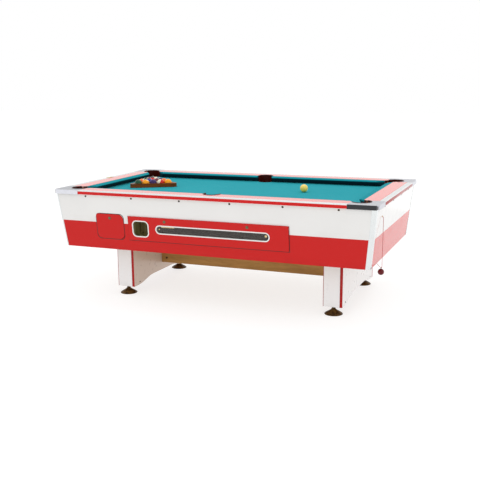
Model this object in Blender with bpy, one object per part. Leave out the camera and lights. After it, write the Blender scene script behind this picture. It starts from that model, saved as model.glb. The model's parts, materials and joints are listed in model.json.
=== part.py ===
"""Coin-operated six-pocket pool table, seven-foot size, with its racked balls and cue ball.

Metres, +Z up. The origin is on the floor under the table's centre. +X runs along the table
to the right, and -Y is the front, the long side with the ball window and the coin door."""

import math

import bmesh
import bpy
from mathutils import Matrix, Vector

GAP = 0.0003  # left between pieces that touch

# Rail frame, over the outside of the metal trim
RAIL_X = 1.180
RAIL_Y = 0.685
RAIL_TOP = 0.795
TRIM_HEIGHT = 0.030
TRIM_FLANGE = 0.038
TRIM_SKIN = 0.003
GROOVE = (0.769, 0.787)  # heights of the coloured insert's groove
GROOVE_DEPTH = 0.0014
CASTING_SIDE = 0.200
CASTING_RADIUS = 0.028
CASTING_WALL = 0.006
CUSHION_BACK = 0.1425  # from the rail's outer edge
NOSE = 0.1895  # from the rail's outer edge to the cushion nose
NOSE_HEIGHT = 0.0363  # nose above the cloth, 63.5% of a ball

# Bed
BED_TOP = 0.750
CLOTH = 0.0012
SLATE = 0.0235
SLATE_X = 1.135
SLATE_Y = 0.640
BALL = 0.05715

# Cabinet, whose four faces lean in towards the floor
CABINET_TOP = 0.765
CABINET_BOTTOM = 0.375
TOP_INSET = 0.015  # cabinet face behind the trim, at its top
BOTTOM_INSET = 0.0555
BOARD = 0.022
LEDGE = (0.700, 0.7247)  # heights of the batten that carries the slate
LEDGE_WIDTH = 0.030
FLOOR_TOP = 0.395
FLOOR_THICKNESS = 0.010
SLOPE = (BOTTOM_INSET - TOP_INSET) / (CABINET_TOP - CABINET_BOTTOM)
TILT = math.atan(SLOPE)

# Pockets: centre's distance outside the cushion nose lines, and wall radius
CORNER_OFFSET = 0.050
CORNER_RADIUS = 0.0625
MOUTH = (0.130, 0.0534)  # a corner pocket's mouth: reach back over the bed, half width
SIDE_OFFSET = 0.0395
SIDE_RADIUS = 0.058
LINER_WALL = 0.0037
LINER_BOTTOM = 0.668
LINER_MOUTH = 0.735  # above this height a liner is open towards the bed
CORNER_TIP = 0.0885  # from the nose lines' crossing to a cushion's end
SIDE_TIP = 0.065
CORNER_FACING = math.radians(38)
SIDE_FACING = math.radians(76)

# Legs
LEG_X = {"left": -0.743, "right": 0.840}
LEG_WIDTH = 0.135
LEG_Y = 0.455
LEG_BOTTOM = 0.055
LEG_TOP = CABINET_BOTTOM + 0.010 - GAP
PANEL = 0.016
END_BOARD = 0.018
ARCH = (0.16, 0.39, 0.090)  # flat half width, foot of the curve, height
FOOT_Y = 0.425
FOOT_RADIUS = 0.0625
STEM_RADIUS = 0.005
STRETCHER = (0.028, 0.150, 0.300)  # thickness, lower and upper height

# Front of the cabinet
DOOR_X = -0.7425
DOOR_SIZE = (0.219, 0.1805)
DOOR_BOTTOM = 0.4535
DOOR_RADII = (0.042, 0.018, 0.042, 0.042)  # upper right, upper left, lower left, lower right
DOOR_THICKNESS = 0.0165
DOOR_PROUD = 0.0015
DOOR_GAP = 0.002
PANEL_HALF = 0.593
PANEL_BOTTOM = 0.456
PANEL_HEIGHT = 0.173
PANEL_THICKNESS = 0.006
PANEL_OPENING = (0.575, 0.472, 0.616)  # half width, lower and upper height
CUP_WINDOW = (-0.497, 0.541, 0.118, 0.108, 0.028)  # x, height, width, tall, radius
LONG_WINDOW = (0.0415, 0.544, 0.829, 0.052, 0.026)
LOCK_X = 0.306
LOCK_HEIGHT = 0.603
LOCK_RADIUS = 0.008

# Ball return
TROUGH_Y = (-0.617, -0.539)
TROUGH_X = (-0.4137, 1.090)
TROUGH_FLOOR = 0.503
TROUGH_FALL = 0.012  # per metre, towards the ball cup
GATE_X = -0.343
GATE_Z = 0.583
ROD_Y = -0.4745
ROD_Z = 0.548

# Loose pieces on the bed
CUE_BALL_AT = (0.476, 0.043)
RACK_APEX = (-0.617, 0.021)
RACK_CLEAR = 0.0015
RACK_WALL = 0.018
RACK_CORNERS = (0.024, 0.026)  # radii of its corners, inside and outside
RACK_HEIGHT = 0.030

# Chalk cord, from its hole in the right apron to its hole in the cabinet floor
CORD_DIAMETER = 0.003
CORD_HOLE = 0.0035
CORD_OUT = (-0.467, 0.694)  # y and z of the hole in the apron
CORD_IN = (1.090, -0.360)  # x and y of the hole in the floor
CORD_ROUTE = [
    (1.1480, -0.4670, 0.6940),
    (1.1530, -0.4670, 0.6940),
    (1.1580, -0.4670, 0.6936),
    (1.1628, -0.4670, 0.6912),
    (1.1656, -0.4670, 0.6864),
    (1.1662, -0.4670, 0.6800),
    (1.1662, -0.4670, 0.6500),
    (1.1662, -0.4670, 0.6000),
    (1.1662, -0.4670, 0.5400),
    (1.1662, -0.4670, 0.4800),
    (1.1661, -0.4670, 0.4300),
    (1.1660, -0.4669, 0.3900),
    (1.1657, -0.4664, 0.3700),
    (1.1645, -0.4646, 0.3605),
    (1.1615, -0.4602, 0.3552),
    (1.1569, -0.4535, 0.3542),
    (1.1500, -0.4435, 0.3556),
    (1.1400, -0.4290, 0.3582),
    (1.1250, -0.4072, 0.3625),
    (1.1100, -0.3858, 0.3672),
    (1.0990, -0.3705, 0.3715),
    (1.0930, -0.3628, 0.3765),
    (1.0905, -0.3602, 0.3830),
    (1.0900, -0.3600, 0.3900),
]
BOB_AT = (1.1578, -0.4549, 0.3270)
BOB_RADIUS = 0.021
BOB_EYE = (1.1590, -0.4566, 0.3543)  # middle of the eye that the cord runs through
BOB_EYE_RADIUS = 0.0048
BOB_EYE_WIRE = 0.0012


def clear_scene():
    for thing in list(bpy.data.objects):
        bpy.data.objects.remove(thing, do_unlink=True)


def material(name, colour, roughness, metallic=0.0):
    made = bpy.data.materials.get(name)
    if made is None:
        made = bpy.data.materials.new(name)
        made.use_nodes = True
        shader = made.node_tree.nodes["Principled BSDF"]
        shader.inputs["Base Color"].default_value = (*colour, 1.0)
        shader.inputs["Roughness"].default_value = roughness
        shader.inputs["Metallic"].default_value = metallic
        made.diffuse_color = (*colour, 1.0)
    return made


def red_laminate():
    return material("red_laminate", (0.58, 0.03, 0.025), 0.35)


def white_laminate():
    return material("white_laminate", (0.83, 0.83, 0.84), 0.35)


def rail_laminate():
    return material("rail_laminate", (0.62, 0.10, 0.07), 0.25)


def aluminium():
    return material("aluminium", (0.78, 0.79, 0.80), 0.28, 1.0)


def cloth():
    return material("cloth", (0.02, 0.36, 0.40), 0.95)


def liner_plastic():
    return material("liner_plastic", (0.07, 0.012, 0.008), 0.45)


def slate_stone():
    return material("slate_stone", (0.16, 0.17, 0.18), 0.8)


def raw_board():
    return material("raw_board", (0.42, 0.24, 0.10), 0.75)


def bronze_iron():
    return material("bronze_iron", (0.07, 0.035, 0.015), 0.5, 0.6)


def steel():
    return material("steel", (0.55, 0.55, 0.53), 0.35, 1.0)


def lock_brass():
    return material("lock_brass", (0.45, 0.42, 0.26), 0.4, 1.0)


def clear_plastic():
    return material("clear_plastic", (0.80, 0.82, 0.82), 0.08)


def trough_plastic():
    return material("trough_plastic", (0.06, 0.055, 0.05), 0.5)


def rack_wood():
    return material("rack_wood", (0.20, 0.07, 0.02), 0.4)


def ball_resin():
    return material("ball_resin", (0.85, 0.74, 0.36), 0.1)


def racked_resin():
    return material("racked_resin", (0.75, 0.38, 0.05), 0.1)


def cord_cotton():
    return material("cord_cotton", (0.55, 0.05, 0.04), 0.9)


def bob_wood():
    return material("bob_wood", (0.22, 0.012, 0.018), 0.35)


def shade(thing, degrees=35):
    thing.data.shade_smooth()
    thing.data.set_sharp_from_angle(angle=math.radians(degrees))


def as_object(name, bm, surface, origin=(0, 0, 0)):
    """A mesh object whose origin is put at the given point, with its shape left where it is."""
    bmesh.ops.recalc_face_normals(bm, faces=bm.faces)
    bmesh.ops.translate(bm, verts=bm.verts, vec=-Vector(origin))
    mesh = bpy.data.meshes.new(name)
    bm.to_mesh(mesh)
    bm.free()
    thing = bpy.data.objects.new(name, mesh)
    thing.location = origin
    bpy.context.scene.collection.objects.link(thing)
    if surface is not None:
        mesh.materials.append(surface)
    shade(thing)
    return thing


def helper(name, bm):
    thing = as_object(name, bm, None)
    thing.hide_render = True
    thing.display_type = "WIRE"
    return thing


def boolean(thing, operation, others):
    for other in others:
        modifier = thing.modifiers.new(operation.lower() + "_" + other.name, "BOOLEAN")
        modifier.operation = operation
        modifier.solver = "EXACT"
        modifier.object = other


def cut(thing, *others):
    boolean(thing, "DIFFERENCE", others)


def join(thing, *others):
    boolean(thing, "UNION", others)


def extrude(points, step):
    """A solid from a flat closed outline of 3-D points, moved along step."""
    bm = bmesh.new()
    face = bm.faces.new([bm.verts.new(p) for p in points])
    made = bmesh.ops.extrude_face_region(bm, geom=[face])
    moved = [g for g in made["geom"] if isinstance(g, bmesh.types.BMVert)]
    bmesh.ops.translate(bm, verts=moved, vec=step)
    return bm


def prism_z(outline, low, high):
    return extrude([(x, y, low) for x, y in outline], (0, 0, high - low))


def prism_x(outline, low, high):
    return extrude([(low, y, z) for y, z in outline], (high - low, 0, 0))


def box(x, y, z):
    bm = bmesh.new()
    size = Vector((x[1] - x[0], y[1] - y[0], z[1] - z[0]))
    middle = Vector((x[1] + x[0], y[1] + y[0], z[1] + z[0])) / 2
    bmesh.ops.create_cube(bm, size=1, matrix=Matrix.Translation(middle) @ Matrix.Diagonal((*size, 1)))
    return bm


def loft(first, second):
    """A solid between two outlines that have the same number of points."""
    bm = bmesh.new()
    a = [bm.verts.new(p) for p in first]
    b = [bm.verts.new(p) for p in second]
    bm.faces.new(a)
    bm.faces.new(list(reversed(b)))
    for i in range(len(a)):
        j = (i + 1) % len(a)
        bm.faces.new((a[j], a[i], b[i], b[j]))
    return bm


def turned(profile, sides, axis=Matrix.Identity(4)):
    """A profile of (radius, height) points turned about Z; it is closed on itself if no point is on the axis."""
    bm = bmesh.new()
    rings = []
    for radius, height in profile:
        if radius == 0:
            rings.append([bm.verts.new((0, 0, height))])
            continue
        angles = [2 * math.pi * i / sides for i in range(sides)]
        rings.append([bm.verts.new((radius * math.cos(a), radius * math.sin(a), height)) for a in angles])
    closed = all(radius > 0 for radius, _ in profile)
    pairs = list(zip(rings, rings[1:])) + ([(rings[-1], rings[0])] if closed else [])
    for low, high in pairs:
        for i in range(sides):
            j = (i + 1) % sides
            corners = [low[i % len(low)], low[j % len(low)], high[j % len(high)], high[i % len(high)]]
            bm.faces.new(list(dict.fromkeys(corners)))
    bmesh.ops.transform(bm, matrix=axis, verts=bm.verts)
    return bm


def rod(start, end, radius, sides=16):
    """A straight round bar between two points."""
    start = Vector(start)
    run = Vector(end) - start
    axis = Matrix.Translation(start) @ run.to_track_quat("Z", "Y").to_matrix().to_4x4()
    return turned([(0, 0), (radius, 0), (radius, run.length), (0, run.length)], sides, axis)


def rounded(width, height, radii, steps=6):
    """A rectangle about the origin with its own radius at each corner, anticlockwise from the upper right."""
    outline = []
    corners = ((1, 1, 0), (-1, 1, 90), (-1, -1, 180), (1, -1, 270))
    for (sx, sy, turn), radius in zip(corners, radii):
        for i in range(steps + 1):
            angle = math.radians(turn + 90 * i / steps)
            x = sx * (width / 2 - radius) + radius * math.cos(angle)
            y = sy * (height / 2 - radius) + radius * math.sin(angle)
            outline.append((x, y))
    return outline


def face_inset(z):
    """How far the cabinet's outer face is inside the rail trim at a height."""
    return TOP_INSET + (CABINET_TOP - z) * SLOPE


def on_front(x, z, out=0.0):
    """A point of the front apron's outer face, or out metres in front of it."""
    y = -(RAIL_Y - face_inset(z))
    return Vector((x, y, z)) + out * Vector((0, -math.cos(TILT), -math.sin(TILT)))


def front_frame(x, z, out=0.0):
    """X along the table, Y up the leaning front face and Z out of it."""
    return Matrix.Translation(on_front(x, z, out)) @ Matrix.Rotation(math.pi / 2 + TILT, 4, "X")


def front_plate(outline, frame, back, front):
    bm = prism_z(outline, back, front)
    bmesh.ops.transform(bm, matrix=frame, verts=bm.verts)
    return bm


SIDES = {"front": 0, "right": 90, "rear": 180, "left": -90}
LONG_SIDES = ("front", "rear")


def turned_to(bm, side):
    """Turns a shape made for the front side to another side of the table."""
    turn = Matrix.Rotation(math.radians(SIDES[side]), 4, "Z")
    bmesh.ops.transform(bm, matrix=turn, verts=bm.verts)
    return bm


def halves(side):
    """Half the table's length along a side, and its distance from the centre."""
    return (RAIL_X, RAIL_Y) if side in LONG_SIDES else (RAIL_Y, RAIL_X)


def make_apron(side):
    """A leaning board, mitred at both ends, with the batten that carries the slate glued on."""
    along, depth = halves(side)
    profile = [
        (0, CABINET_TOP - GAP),
        (0, CABINET_BOTTOM),
        (BOARD, CABINET_BOTTOM),
        (BOARD, LEDGE[0]),
        (BOARD + LEDGE_WIDTH, LEDGE[0]),
        (BOARD + LEDGE_WIDTH, LEDGE[1]),
        (BOARD, LEDGE[1]),
        (BOARD, CABINET_TOP - GAP),
    ]
    ends = []
    for sign in (-1, 1):
        end = []
        for inward, z in profile:
            inset = face_inset(z) + inward
            end.append((sign * (along - inset - GAP), -(depth - inset), z))
        ends.append(end)
    return as_object("apron_" + side, turned_to(loft(*ends), side), white_laminate())


def door_outline(grow):
    """The coin door's outline from the middle of its lower side, moved outwards all round."""
    width, height = DOOR_SIZE
    radii = [radius + grow for radius in DOOR_RADII]
    return [(x, y + height / 2) for x, y in rounded(width + 2 * grow, height + 2 * grow, radii)]


def make_aprons():
    aprons = {side: make_apron(side) for side in SIDES}
    front = aprons["front"]
    front.data.materials[0] = red_laminate()
    frame = front_frame(DOOR_X, DOOR_BOTTOM)
    cut(front, helper("cut_coin_door", front_plate(door_outline(DOOR_GAP), frame, -0.05, 0.02)))
    half, low, high = PANEL_OPENING
    opening = box((-half, half), (-0.70, -0.60), (low, high))
    cut(front, helper("cut_service_opening", opening))
    y, z = CORD_OUT
    bore = rod((RAIL_X - 0.08, y, z), (RAIL_X, y, z), CORD_HOLE, 12)
    cut(aprons["right"], helper("cut_cord_hole", bore))


def make_cabinet_floor():
    z = FLOOR_TOP - FLOOR_THICKNESS
    inset = face_inset(z) + BOARD + 0.0005
    x = RAIL_X - inset
    y = RAIL_Y - inset
    floor = as_object("cabinet_floor", box((-x, x), (-y, y), (z, FLOOR_TOP)), raw_board())
    hole = rod((*CORD_IN, z - 0.01), (*CORD_IN, FLOOR_TOP + 0.01), CORD_HOLE, 12)
    cut(floor, helper("cut_floor_cord_hole", hole))


def pocket_places():
    """Each pocket's name, centre, wall radius and outward angle in degrees."""
    nose_x = RAIL_X - NOSE
    nose_y = RAIL_Y - NOSE
    places = []
    for row, sy in (("front", -1), ("rear", 1)):
        for column, sx in (("left", -1), ("middle", 0), ("right", 1)):
            if sx:
                centre = (sx * (nose_x + CORNER_OFFSET), sy * (nose_y + CORNER_OFFSET))
                radius = CORNER_RADIUS
            else:
                centre = (0.0, sy * (nose_y + SIDE_OFFSET))
                radius = SIDE_RADIUS
            angle = math.degrees(math.atan2(sy, sx))
            places.append((row + "_" + column, centre, radius, angle))
    return places


def make_pocket_cutters():
    cutters = {}
    for name, (x, y), radius, _ in pocket_places():
        bore = rod((x, y, 0.700), (x, y, 0.820), radius, 40)
        cutters[name] = helper("cut_pocket_" + name, bore)
    return cutters


def turned_outward(bm, x, y, angle):
    """Moves a shape made about the origin to a pocket's centre, its +X pointing away from the bed."""
    turn = Matrix.Translation((x, y, 0)) @ Matrix.Rotation(math.radians(angle), 4, "Z")
    bmesh.ops.transform(bm, matrix=turn, verts=bm.verts)
    return bm


def make_mouth_cutters():
    """The corner pockets' mouths, which open the rails and castings above the slate towards the bed."""
    reach, half = MOUTH
    mouths = {}
    for name, (x, y), _, angle in pocket_places():
        if "middle" not in name:
            slot = turned_outward(box((-reach, 0), (-half, half), (0.740, 0.820)), x, y, angle)
            mouths[name] = helper("cut_opening_" + name, slot)
    return mouths


def make_slate(cutters):
    top = BED_TOP - CLOTH - GAP
    shape = box((-SLATE_X, SLATE_X), (-SLATE_Y, SLATE_Y), (top - SLATE, top))
    cut(as_object("slate_bed", shape, slate_stone()), *cutters.values())


def make_bed_cloth(cutters):
    x = RAIL_X - CUSHION_BACK - GAP
    y = RAIL_Y - CUSHION_BACK - GAP
    shape = box((-x, x), (-y, y), (BED_TOP - CLOTH, BED_TOP))
    cut(as_object("bed_cloth", shape, cloth()), *cutters.values())


def straight_run(profile, side, reach):
    """A profile of (distance in from the rail's edge, height) run along one side of the table."""
    _, depth = halves(side)
    outline = [(-(depth - inward), z) for inward, z in profile]
    return turned_to(prism_x(outline, -reach, reach), side)


def casting_end(side):
    """Half the run between the two castings of a side."""
    return halves(side)[0] - CASTING_SIDE - GAP


def make_rail(side, cutters, mouths):
    """A timber rail with a laminated top, rebated for the trim and notched round its pockets."""
    under_slate_edge = 0.045
    slate_top = BED_TOP - CLOTH
    rebate = RAIL_TOP - 0.0025
    profile = [
        (TRIM_SKIN + GAP, CABINET_TOP + GAP),
        (TRIM_SKIN + GAP, rebate),
        (TRIM_FLANGE + GAP, rebate),
        (TRIM_FLANGE + GAP, RAIL_TOP),
        (CUSHION_BACK, RAIL_TOP),
        (CUSHION_BACK, slate_top),
        (under_slate_edge, slate_top),
        (under_slate_edge, CABINET_TOP + GAP),
    ]
    rail = as_object("rail_" + side, straight_run(profile, side, casting_end(side)), rail_laminate())
    notches = [*cutters.items(), *mouths.items()]
    cut(rail, *[cutter for name, cutter in notches if side in name])


def make_trim(side):
    """An aluminium angle over the rail's outer edge, grooved for a coloured insert."""
    flange = RAIL_TOP - 0.0022
    profile = [
        (0, CABINET_TOP + GAP),
        (0, GROOVE[0]),
        (GROOVE_DEPTH, GROOVE[0]),
        (GROOVE_DEPTH, GROOVE[1]),
        (0, GROOVE[1]),
        (0, RAIL_TOP - 0.002),
        (0.002, RAIL_TOP),
        (TRIM_FLANGE, RAIL_TOP),
        (TRIM_FLANGE, flange),
        (TRIM_SKIN, flange),
        (TRIM_SKIN, CABINET_TOP + GAP),
    ]
    as_object("rail_trim_" + side, straight_run(profile, side, casting_end(side)), aluminium())


def cushion_profile():
    back = CUSHION_BACK + GAP
    nose = BED_TOP + NOSE_HEIGHT
    low = BED_TOP + GAP
    return [
        (back, low),
        (back, RAIL_TOP - 0.0005),
        (back + 0.020, RAIL_TOP - 0.0010),
        (back + 0.037, nose + 0.0050),
        (NOSE - 0.0022, nose + 0.0028),
        (NOSE, nose),
        (NOSE - 0.0014, nose - 0.0034),
        (back + 0.018, low + 0.0080),
        (back + 0.015, low),
    ]


def make_cushion(name, side, start, end, cutters):
    """A cushion between two ends, each an along-position of the nose and the way that its facing runs back."""
    _, depth = halves(side)
    ends = []
    for tip, slant in (start, end):
        outline = []
        for inward, z in cushion_profile():
            outline.append((tip + slant * (NOSE - inward), -(depth - inward), z))
        ends.append(outline)
    cushion = as_object("cushion_" + name, turned_to(loft(*ends), side), cloth())
    cut(cushion, *cutters)


def make_cushions(cutters):
    corner = 1 / math.tan(CORNER_FACING)
    middle = -1 / math.tan(SIDE_FACING)
    for side in SIDES:
        tip = halves(side)[0] - NOSE - CORNER_TIP
        own = [cutter for name, cutter in cutters.items() if side in name]
        if side not in LONG_SIDES:
            make_cushion(side + "_end", side, (-tip, -corner), (tip, corner), own)
            continue
        near, far = ("left", "right") if side == "front" else ("right", "left")
        make_cushion(side + "_" + near, side, (-tip, -corner), (-SIDE_TIP, -middle), own)
        make_cushion(side + "_" + far, side, (SIDE_TIP, middle), (tip, corner), own)


def casting_outline(sx, sy):
    """A square at the table's corner, with its outer corner rounded."""
    x0 = RAIL_X - CASTING_SIDE
    y0 = RAIL_Y - CASTING_SIDE
    outline = [(x0, y0), (RAIL_X, y0)]
    for i in range(9):
        angle = math.radians(90 * i / 8)
        x = RAIL_X - CASTING_RADIUS + CASTING_RADIUS * math.cos(angle)
        y = RAIL_Y - CASTING_RADIUS + CASTING_RADIUS * math.sin(angle)
        outline.append((x, y))
    outline.append((x0, RAIL_Y))
    return [(sx * x, sy * y) for x, y in outline]


def make_castings(cutters, mouths):
    """Corner caps with a skirt along the two outer sides, open underneath."""
    for row, sy in (("front", -1), ("rear", 1)):
        for column, sx in (("left", -1), ("right", 1)):
            name = row + "_" + column
            shape = prism_z(casting_outline(sx, sy), CABINET_TOP + GAP, RAIL_TOP)
            casting = as_object("corner_casting_" + name, shape, aluminium())
            x = sorted((sx * (RAIL_X - CASTING_SIDE - 0.01), sx * (RAIL_X - CASTING_WALL)))
            y = sorted((sy * (RAIL_Y - CASTING_SIDE - 0.01), sy * (RAIL_Y - CASTING_WALL)))
            inside = box(x, y, (CABINET_TOP - 0.01, RAIL_TOP - 0.005))
            cut(casting, helper("cut_casting_" + name, inside), cutters[name], mouths[name])


def make_liners():
    """Dark plastic pocket liners: a tube with a flange on top, open towards the bed above the slate."""
    for name, (x, y), radius, angle in pocket_places():
        outer = radius - GAP
        inner = outer - LINER_WALL
        rim = RAIL_TOP + GAP
        profile = [
            (inner, LINER_BOTTOM),
            (outer, LINER_BOTTOM),
            (outer, rim),
            (outer + 0.0045, rim),
            (outer + 0.0040, rim + 0.0022),
            (inner, rim + 0.0022),
        ]
        shape = turned(profile, 32, Matrix.Translation((x, y, 0)))
        liner = as_object("pocket_liner_" + name, shape, liner_plastic(), (x, y, LINER_BOTTOM))
        mouth = turned_outward(box((-0.15, -0.018), (-0.1, 0.1), (LINER_MOUTH, 0.83)), x, y, angle)
        cut(liner, helper("cut_mouth_" + name, mouth))


def arch_line():
    """The side panel's lower edge between its feet, as (y, z) from front to rear."""
    flat, foot, height = ARCH
    steps = 6
    line = []
    for i in range(steps + 1):
        t = i / steps
        line.append((-foot + (foot - flat) * t, LEG_BOTTOM + (height - LEG_BOTTOM) * t * t * (3 - 2 * t)))
    return line + [(-y, z) for y, z in reversed(line)]


def leg_panel(front, rear):
    return [(front, LEG_BOTTOM), *arch_line(), (rear, LEG_BOTTOM), (rear, LEG_TOP), (front, LEG_TOP)]


def make_leg_unit(side):
    """Two arched side panels, a top board and two foot blocks as one glued carcass, and the two end boards."""
    x = LEG_X[side]
    half = LEG_WIDTH / 2
    covered = LEG_Y - END_BOARD
    right = prism_x(leg_panel(-LEG_Y, covered), x + half - PANEL, x + half)
    carcass = as_object("leg_" + side + "_side_panels", right, white_laminate())
    left = prism_x(leg_panel(-covered, LEG_Y), x - half, x - half + PANEL)
    inner = (x - half + PANEL - 0.004, x + half - PANEL + 0.004)
    top = box(inner, (-covered, covered), (LEG_TOP - END_BOARD, LEG_TOP - 0.001))
    join(carcass, helper("join_left_panel_" + side, left), helper("join_top_" + side, top))
    for row, sy in (("front", -1), ("rear", 1)):
        y = sorted((sy * (covered - 0.001), sy * (FOOT_Y - 0.030)))
        block = box(inner, y, (LEG_BOTTOM + 0.001, LEG_BOTTOM + 0.045))
        join(carcass, helper("join_block_" + side + "_" + row, block))
    for row, sy in (("front", -1), ("rear", 1)):
        hole = rod((x, sy * FOOT_Y, 0.02), (x, sy * FOOT_Y, 0.16), STEM_RADIUS + 0.0006, 12)
        cut(carcass, helper("cut_stem_" + side + "_" + row, hole))
        board_x = sorted((x + sy * half, x - sy * (half - PANEL - GAP)))
        board_y = sorted((sy * LEG_Y, sy * (covered + GAP)))
        board = box(board_x, board_y, (LEG_BOTTOM, LEG_TOP))
        as_object("leg_" + side + "_" + row + "_board", board, white_laminate())


def make_stretcher():
    reach = LEG_WIDTH / 2 + GAP
    thick, low, high = STRETCHER
    x = (LEG_X["left"] + reach, LEG_X["right"] - reach)
    as_object("stretcher_beam", box(x, (-thick / 2, thick / 2), (low, high)), raw_board())


def make_levellers():
    """Cast bell feet, each on a threaded stem that turns in the leg's foot block."""
    profile = [
        (0, 0),
        (FOOT_RADIUS - 0.001, 0),
        (FOOT_RADIUS, 0.004),
        (0.056, 0.009),
        (0.040, 0.014),
        (0.026, 0.021),
        (0.016, 0.031),
        (0.012, 0.040),
        (0.011, 0.050),
        (STEM_RADIUS, 0.0505),
        (STEM_RADIUS, 0.125),
        (0, 0.125),
    ]
    for row, sy in (("front", -1), ("rear", 1)):
        for column, x in LEG_X.items():
            place = (x, sy * FOOT_Y, 0)
            shape = turned(profile, 24, Matrix.Translation(place))
            as_object("leveller_" + row + "_" + column, shape, bronze_iron(), place)


def make_lock(name, frame, plate, back, reach):
    """A cam lock about its own Z axis: a round face in front of its plate, a barrel and a flat cam behind."""
    front = 0.0022
    profile = [
        (0, -back),
        (0.0062, -back),
        (0.0062, -plate - 0.010),
        (LOCK_RADIUS, -plate - 0.010),
        (LOCK_RADIUS, GAP),
        (LOCK_RADIUS + 0.0025, GAP),
        (LOCK_RADIUS + 0.0020, front),
        (0, front),
    ]
    body = turned(profile, 20, frame)
    lock = as_object(name, body, lock_brass(), frame.translation)
    cam = box((-0.006, reach), (-0.0055, 0.0055), (-back + 0.0005, -back + 0.0025))
    bmesh.ops.transform(cam, matrix=frame, verts=cam.verts)
    join(lock, helper("join_cam_" + name, cam))


def lock_hole(name, frame):
    hole = rod((0, 0, -0.04), (0, 0, 0.02), LOCK_RADIUS + GAP, 20)
    bmesh.ops.transform(hole, matrix=frame, verts=hole.verts)
    return helper("cut_hole_" + name, hole)


def make_coin_door():
    """A flush door that swings out and down about the outer edge of its lower side."""
    frame = front_frame(DOOR_X, DOOR_BOTTOM, DOOR_PROUD)
    shape = front_plate(door_outline(0), frame, -DOOR_THICKNESS, 0)
    door = as_object("coin_door", shape, red_laminate(), frame.translation)
    lock_frame = front_frame(DOOR_X, 0.604, DOOR_PROUD)
    cut(door, lock_hole("coin_door_lock", lock_frame))
    make_lock("coin_door_lock", lock_frame, DOOR_THICKNESS, 0.031, 0.042)


def window_cutter(name, window):
    x, z, width, tall, radius = window
    shape = front_plate(rounded(width, tall, [radius] * 4), front_frame(x, z), -0.01, 0.02)
    return helper("cut_" + name, shape)


def make_service_panel():
    """The overlaid ball-return panel, its window and its two locks; it swings about its lower back edge."""
    frame = front_frame(0, PANEL_BOTTOM, GAP + 0.0002)
    outline = [(x, y + PANEL_HEIGHT / 2) for x, y in rounded(2 * PANEL_HALF, PANEL_HEIGHT, [0.004] * 4, 2)]
    shape = front_plate(outline, frame, 0, PANEL_THICKNESS)
    panel = as_object("service_panel", shape, red_laminate(), frame.translation)
    cut(panel, window_cutter("cup_window", CUP_WINDOW), window_cutter("long_window", LONG_WINDOW))
    for side, sx in (("left", -1), ("right", 1)):
        lock_frame = front_frame(sx * LOCK_X, LOCK_HEIGHT, GAP + 0.0002 + PANEL_THICKNESS)
        cut(panel, lock_hole("service_lock_" + side, lock_frame))
        make_lock("service_lock_" + side, lock_frame, PANEL_THICKNESS, 0.0345, 0.028)
    x, z, width, tall, _ = LONG_WINDOW
    pane = front_plate(rounded(width + 0.040, tall + 0.020, [0.006] * 4, 2), front_frame(x, z), -0.0035, -0.0001)
    as_object("window_lens", pane, clear_plastic())


def deck_height(x, y):
    """The ball deck's top, which falls to the front and to the right."""
    return 0.612 + 0.020 * (y + 0.54) - 0.012 * (x + 0.33)


def make_ball_deck():
    """A sloping board under all six pockets, with a guide strip and four posts."""
    split = -0.33
    x = 1.112
    outline = [(-x, -0.600), (split, -0.600), (split, -0.540), (x, -0.540), (x, 0.632), (-x, 0.632)]
    tops = [(px, py, deck_height(px, py)) for px, py in outline]
    unders = [(px, py, z - 0.006) for px, py, z in tops]
    deck = as_object("ball_deck", loft(tops, unders), raw_board())
    strip = []
    for px in (-x + 0.001, split - 0.001):
        z = deck_height(px, -0.600)
        strip.append([(px, y, z + rise) for y, rise in
                      ((-0.606, -0.005), (-0.598, -0.005), (-0.598, 0.025), (-0.606, 0.025))])
    join(deck, helper("join_guide_strip", loft(*strip)))
    for row, y in (("front", -0.45), ("rear", 0.55)):
        for column, px in (("left", -1.06), ("right", 1.06)):
            foot = (px - 0.015, px + 0.015), (y - 0.015, y + 0.015)
            post = box(*foot, (FLOOR_TOP + GAP, deck_height(px, y) - 0.003))
            join(deck, helper("join_post_" + row + "_" + column, post))


def trough_rise(x):
    return TROUGH_FLOOR + TROUGH_FALL * (x - GATE_X)


def make_trough():
    """A U-shaped runway behind the long window, falling towards the cup, with the gate's bearing ear."""
    front, back = TROUGH_Y
    profile = [
        (front, 0),
        (front, 0.018),
        (front + 0.004, 0.018),
        (front + 0.004, 0.006),
        (back - 0.006, 0.006),
        (back - 0.006, 0.062),
        (back, 0.062),
        (back, 0),
    ]
    ends = [[(x, y, trough_rise(x) + z) for y, z in profile] for x in TROUGH_X]
    trough = as_object("ball_trough", loft(*ends), trough_plastic())
    right = TROUGH_X[1]
    stop = box((right - 0.006, right + 0.001), (front, back), (trough_rise(right) + 0.001, 0.575))
    join(trough, helper("join_trough_stop", stop))
    ear = box((GATE_X - 0.010, GATE_X + 0.010), (back - 0.0055, back - 0.0005), (0.540, 0.595))
    join(trough, helper("join_gate_ear", ear))
    for i, x in enumerate((-0.30, 0.35, 1.00)):
        leg = box((x - 0.012, x + 0.012), (front + 0.010, back - 0.010), (FLOOR_TOP + GAP, trough_rise(x) + 0.003))
        join(trough, helper("join_trough_leg_%d" % i, leg))
    bore = rod((GATE_X, back - 0.03, GATE_Z), (GATE_X, back + 0.03, GATE_Z), 0.0031, 12)
    cut(trough, helper("cut_gate_bore", bore))


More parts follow.
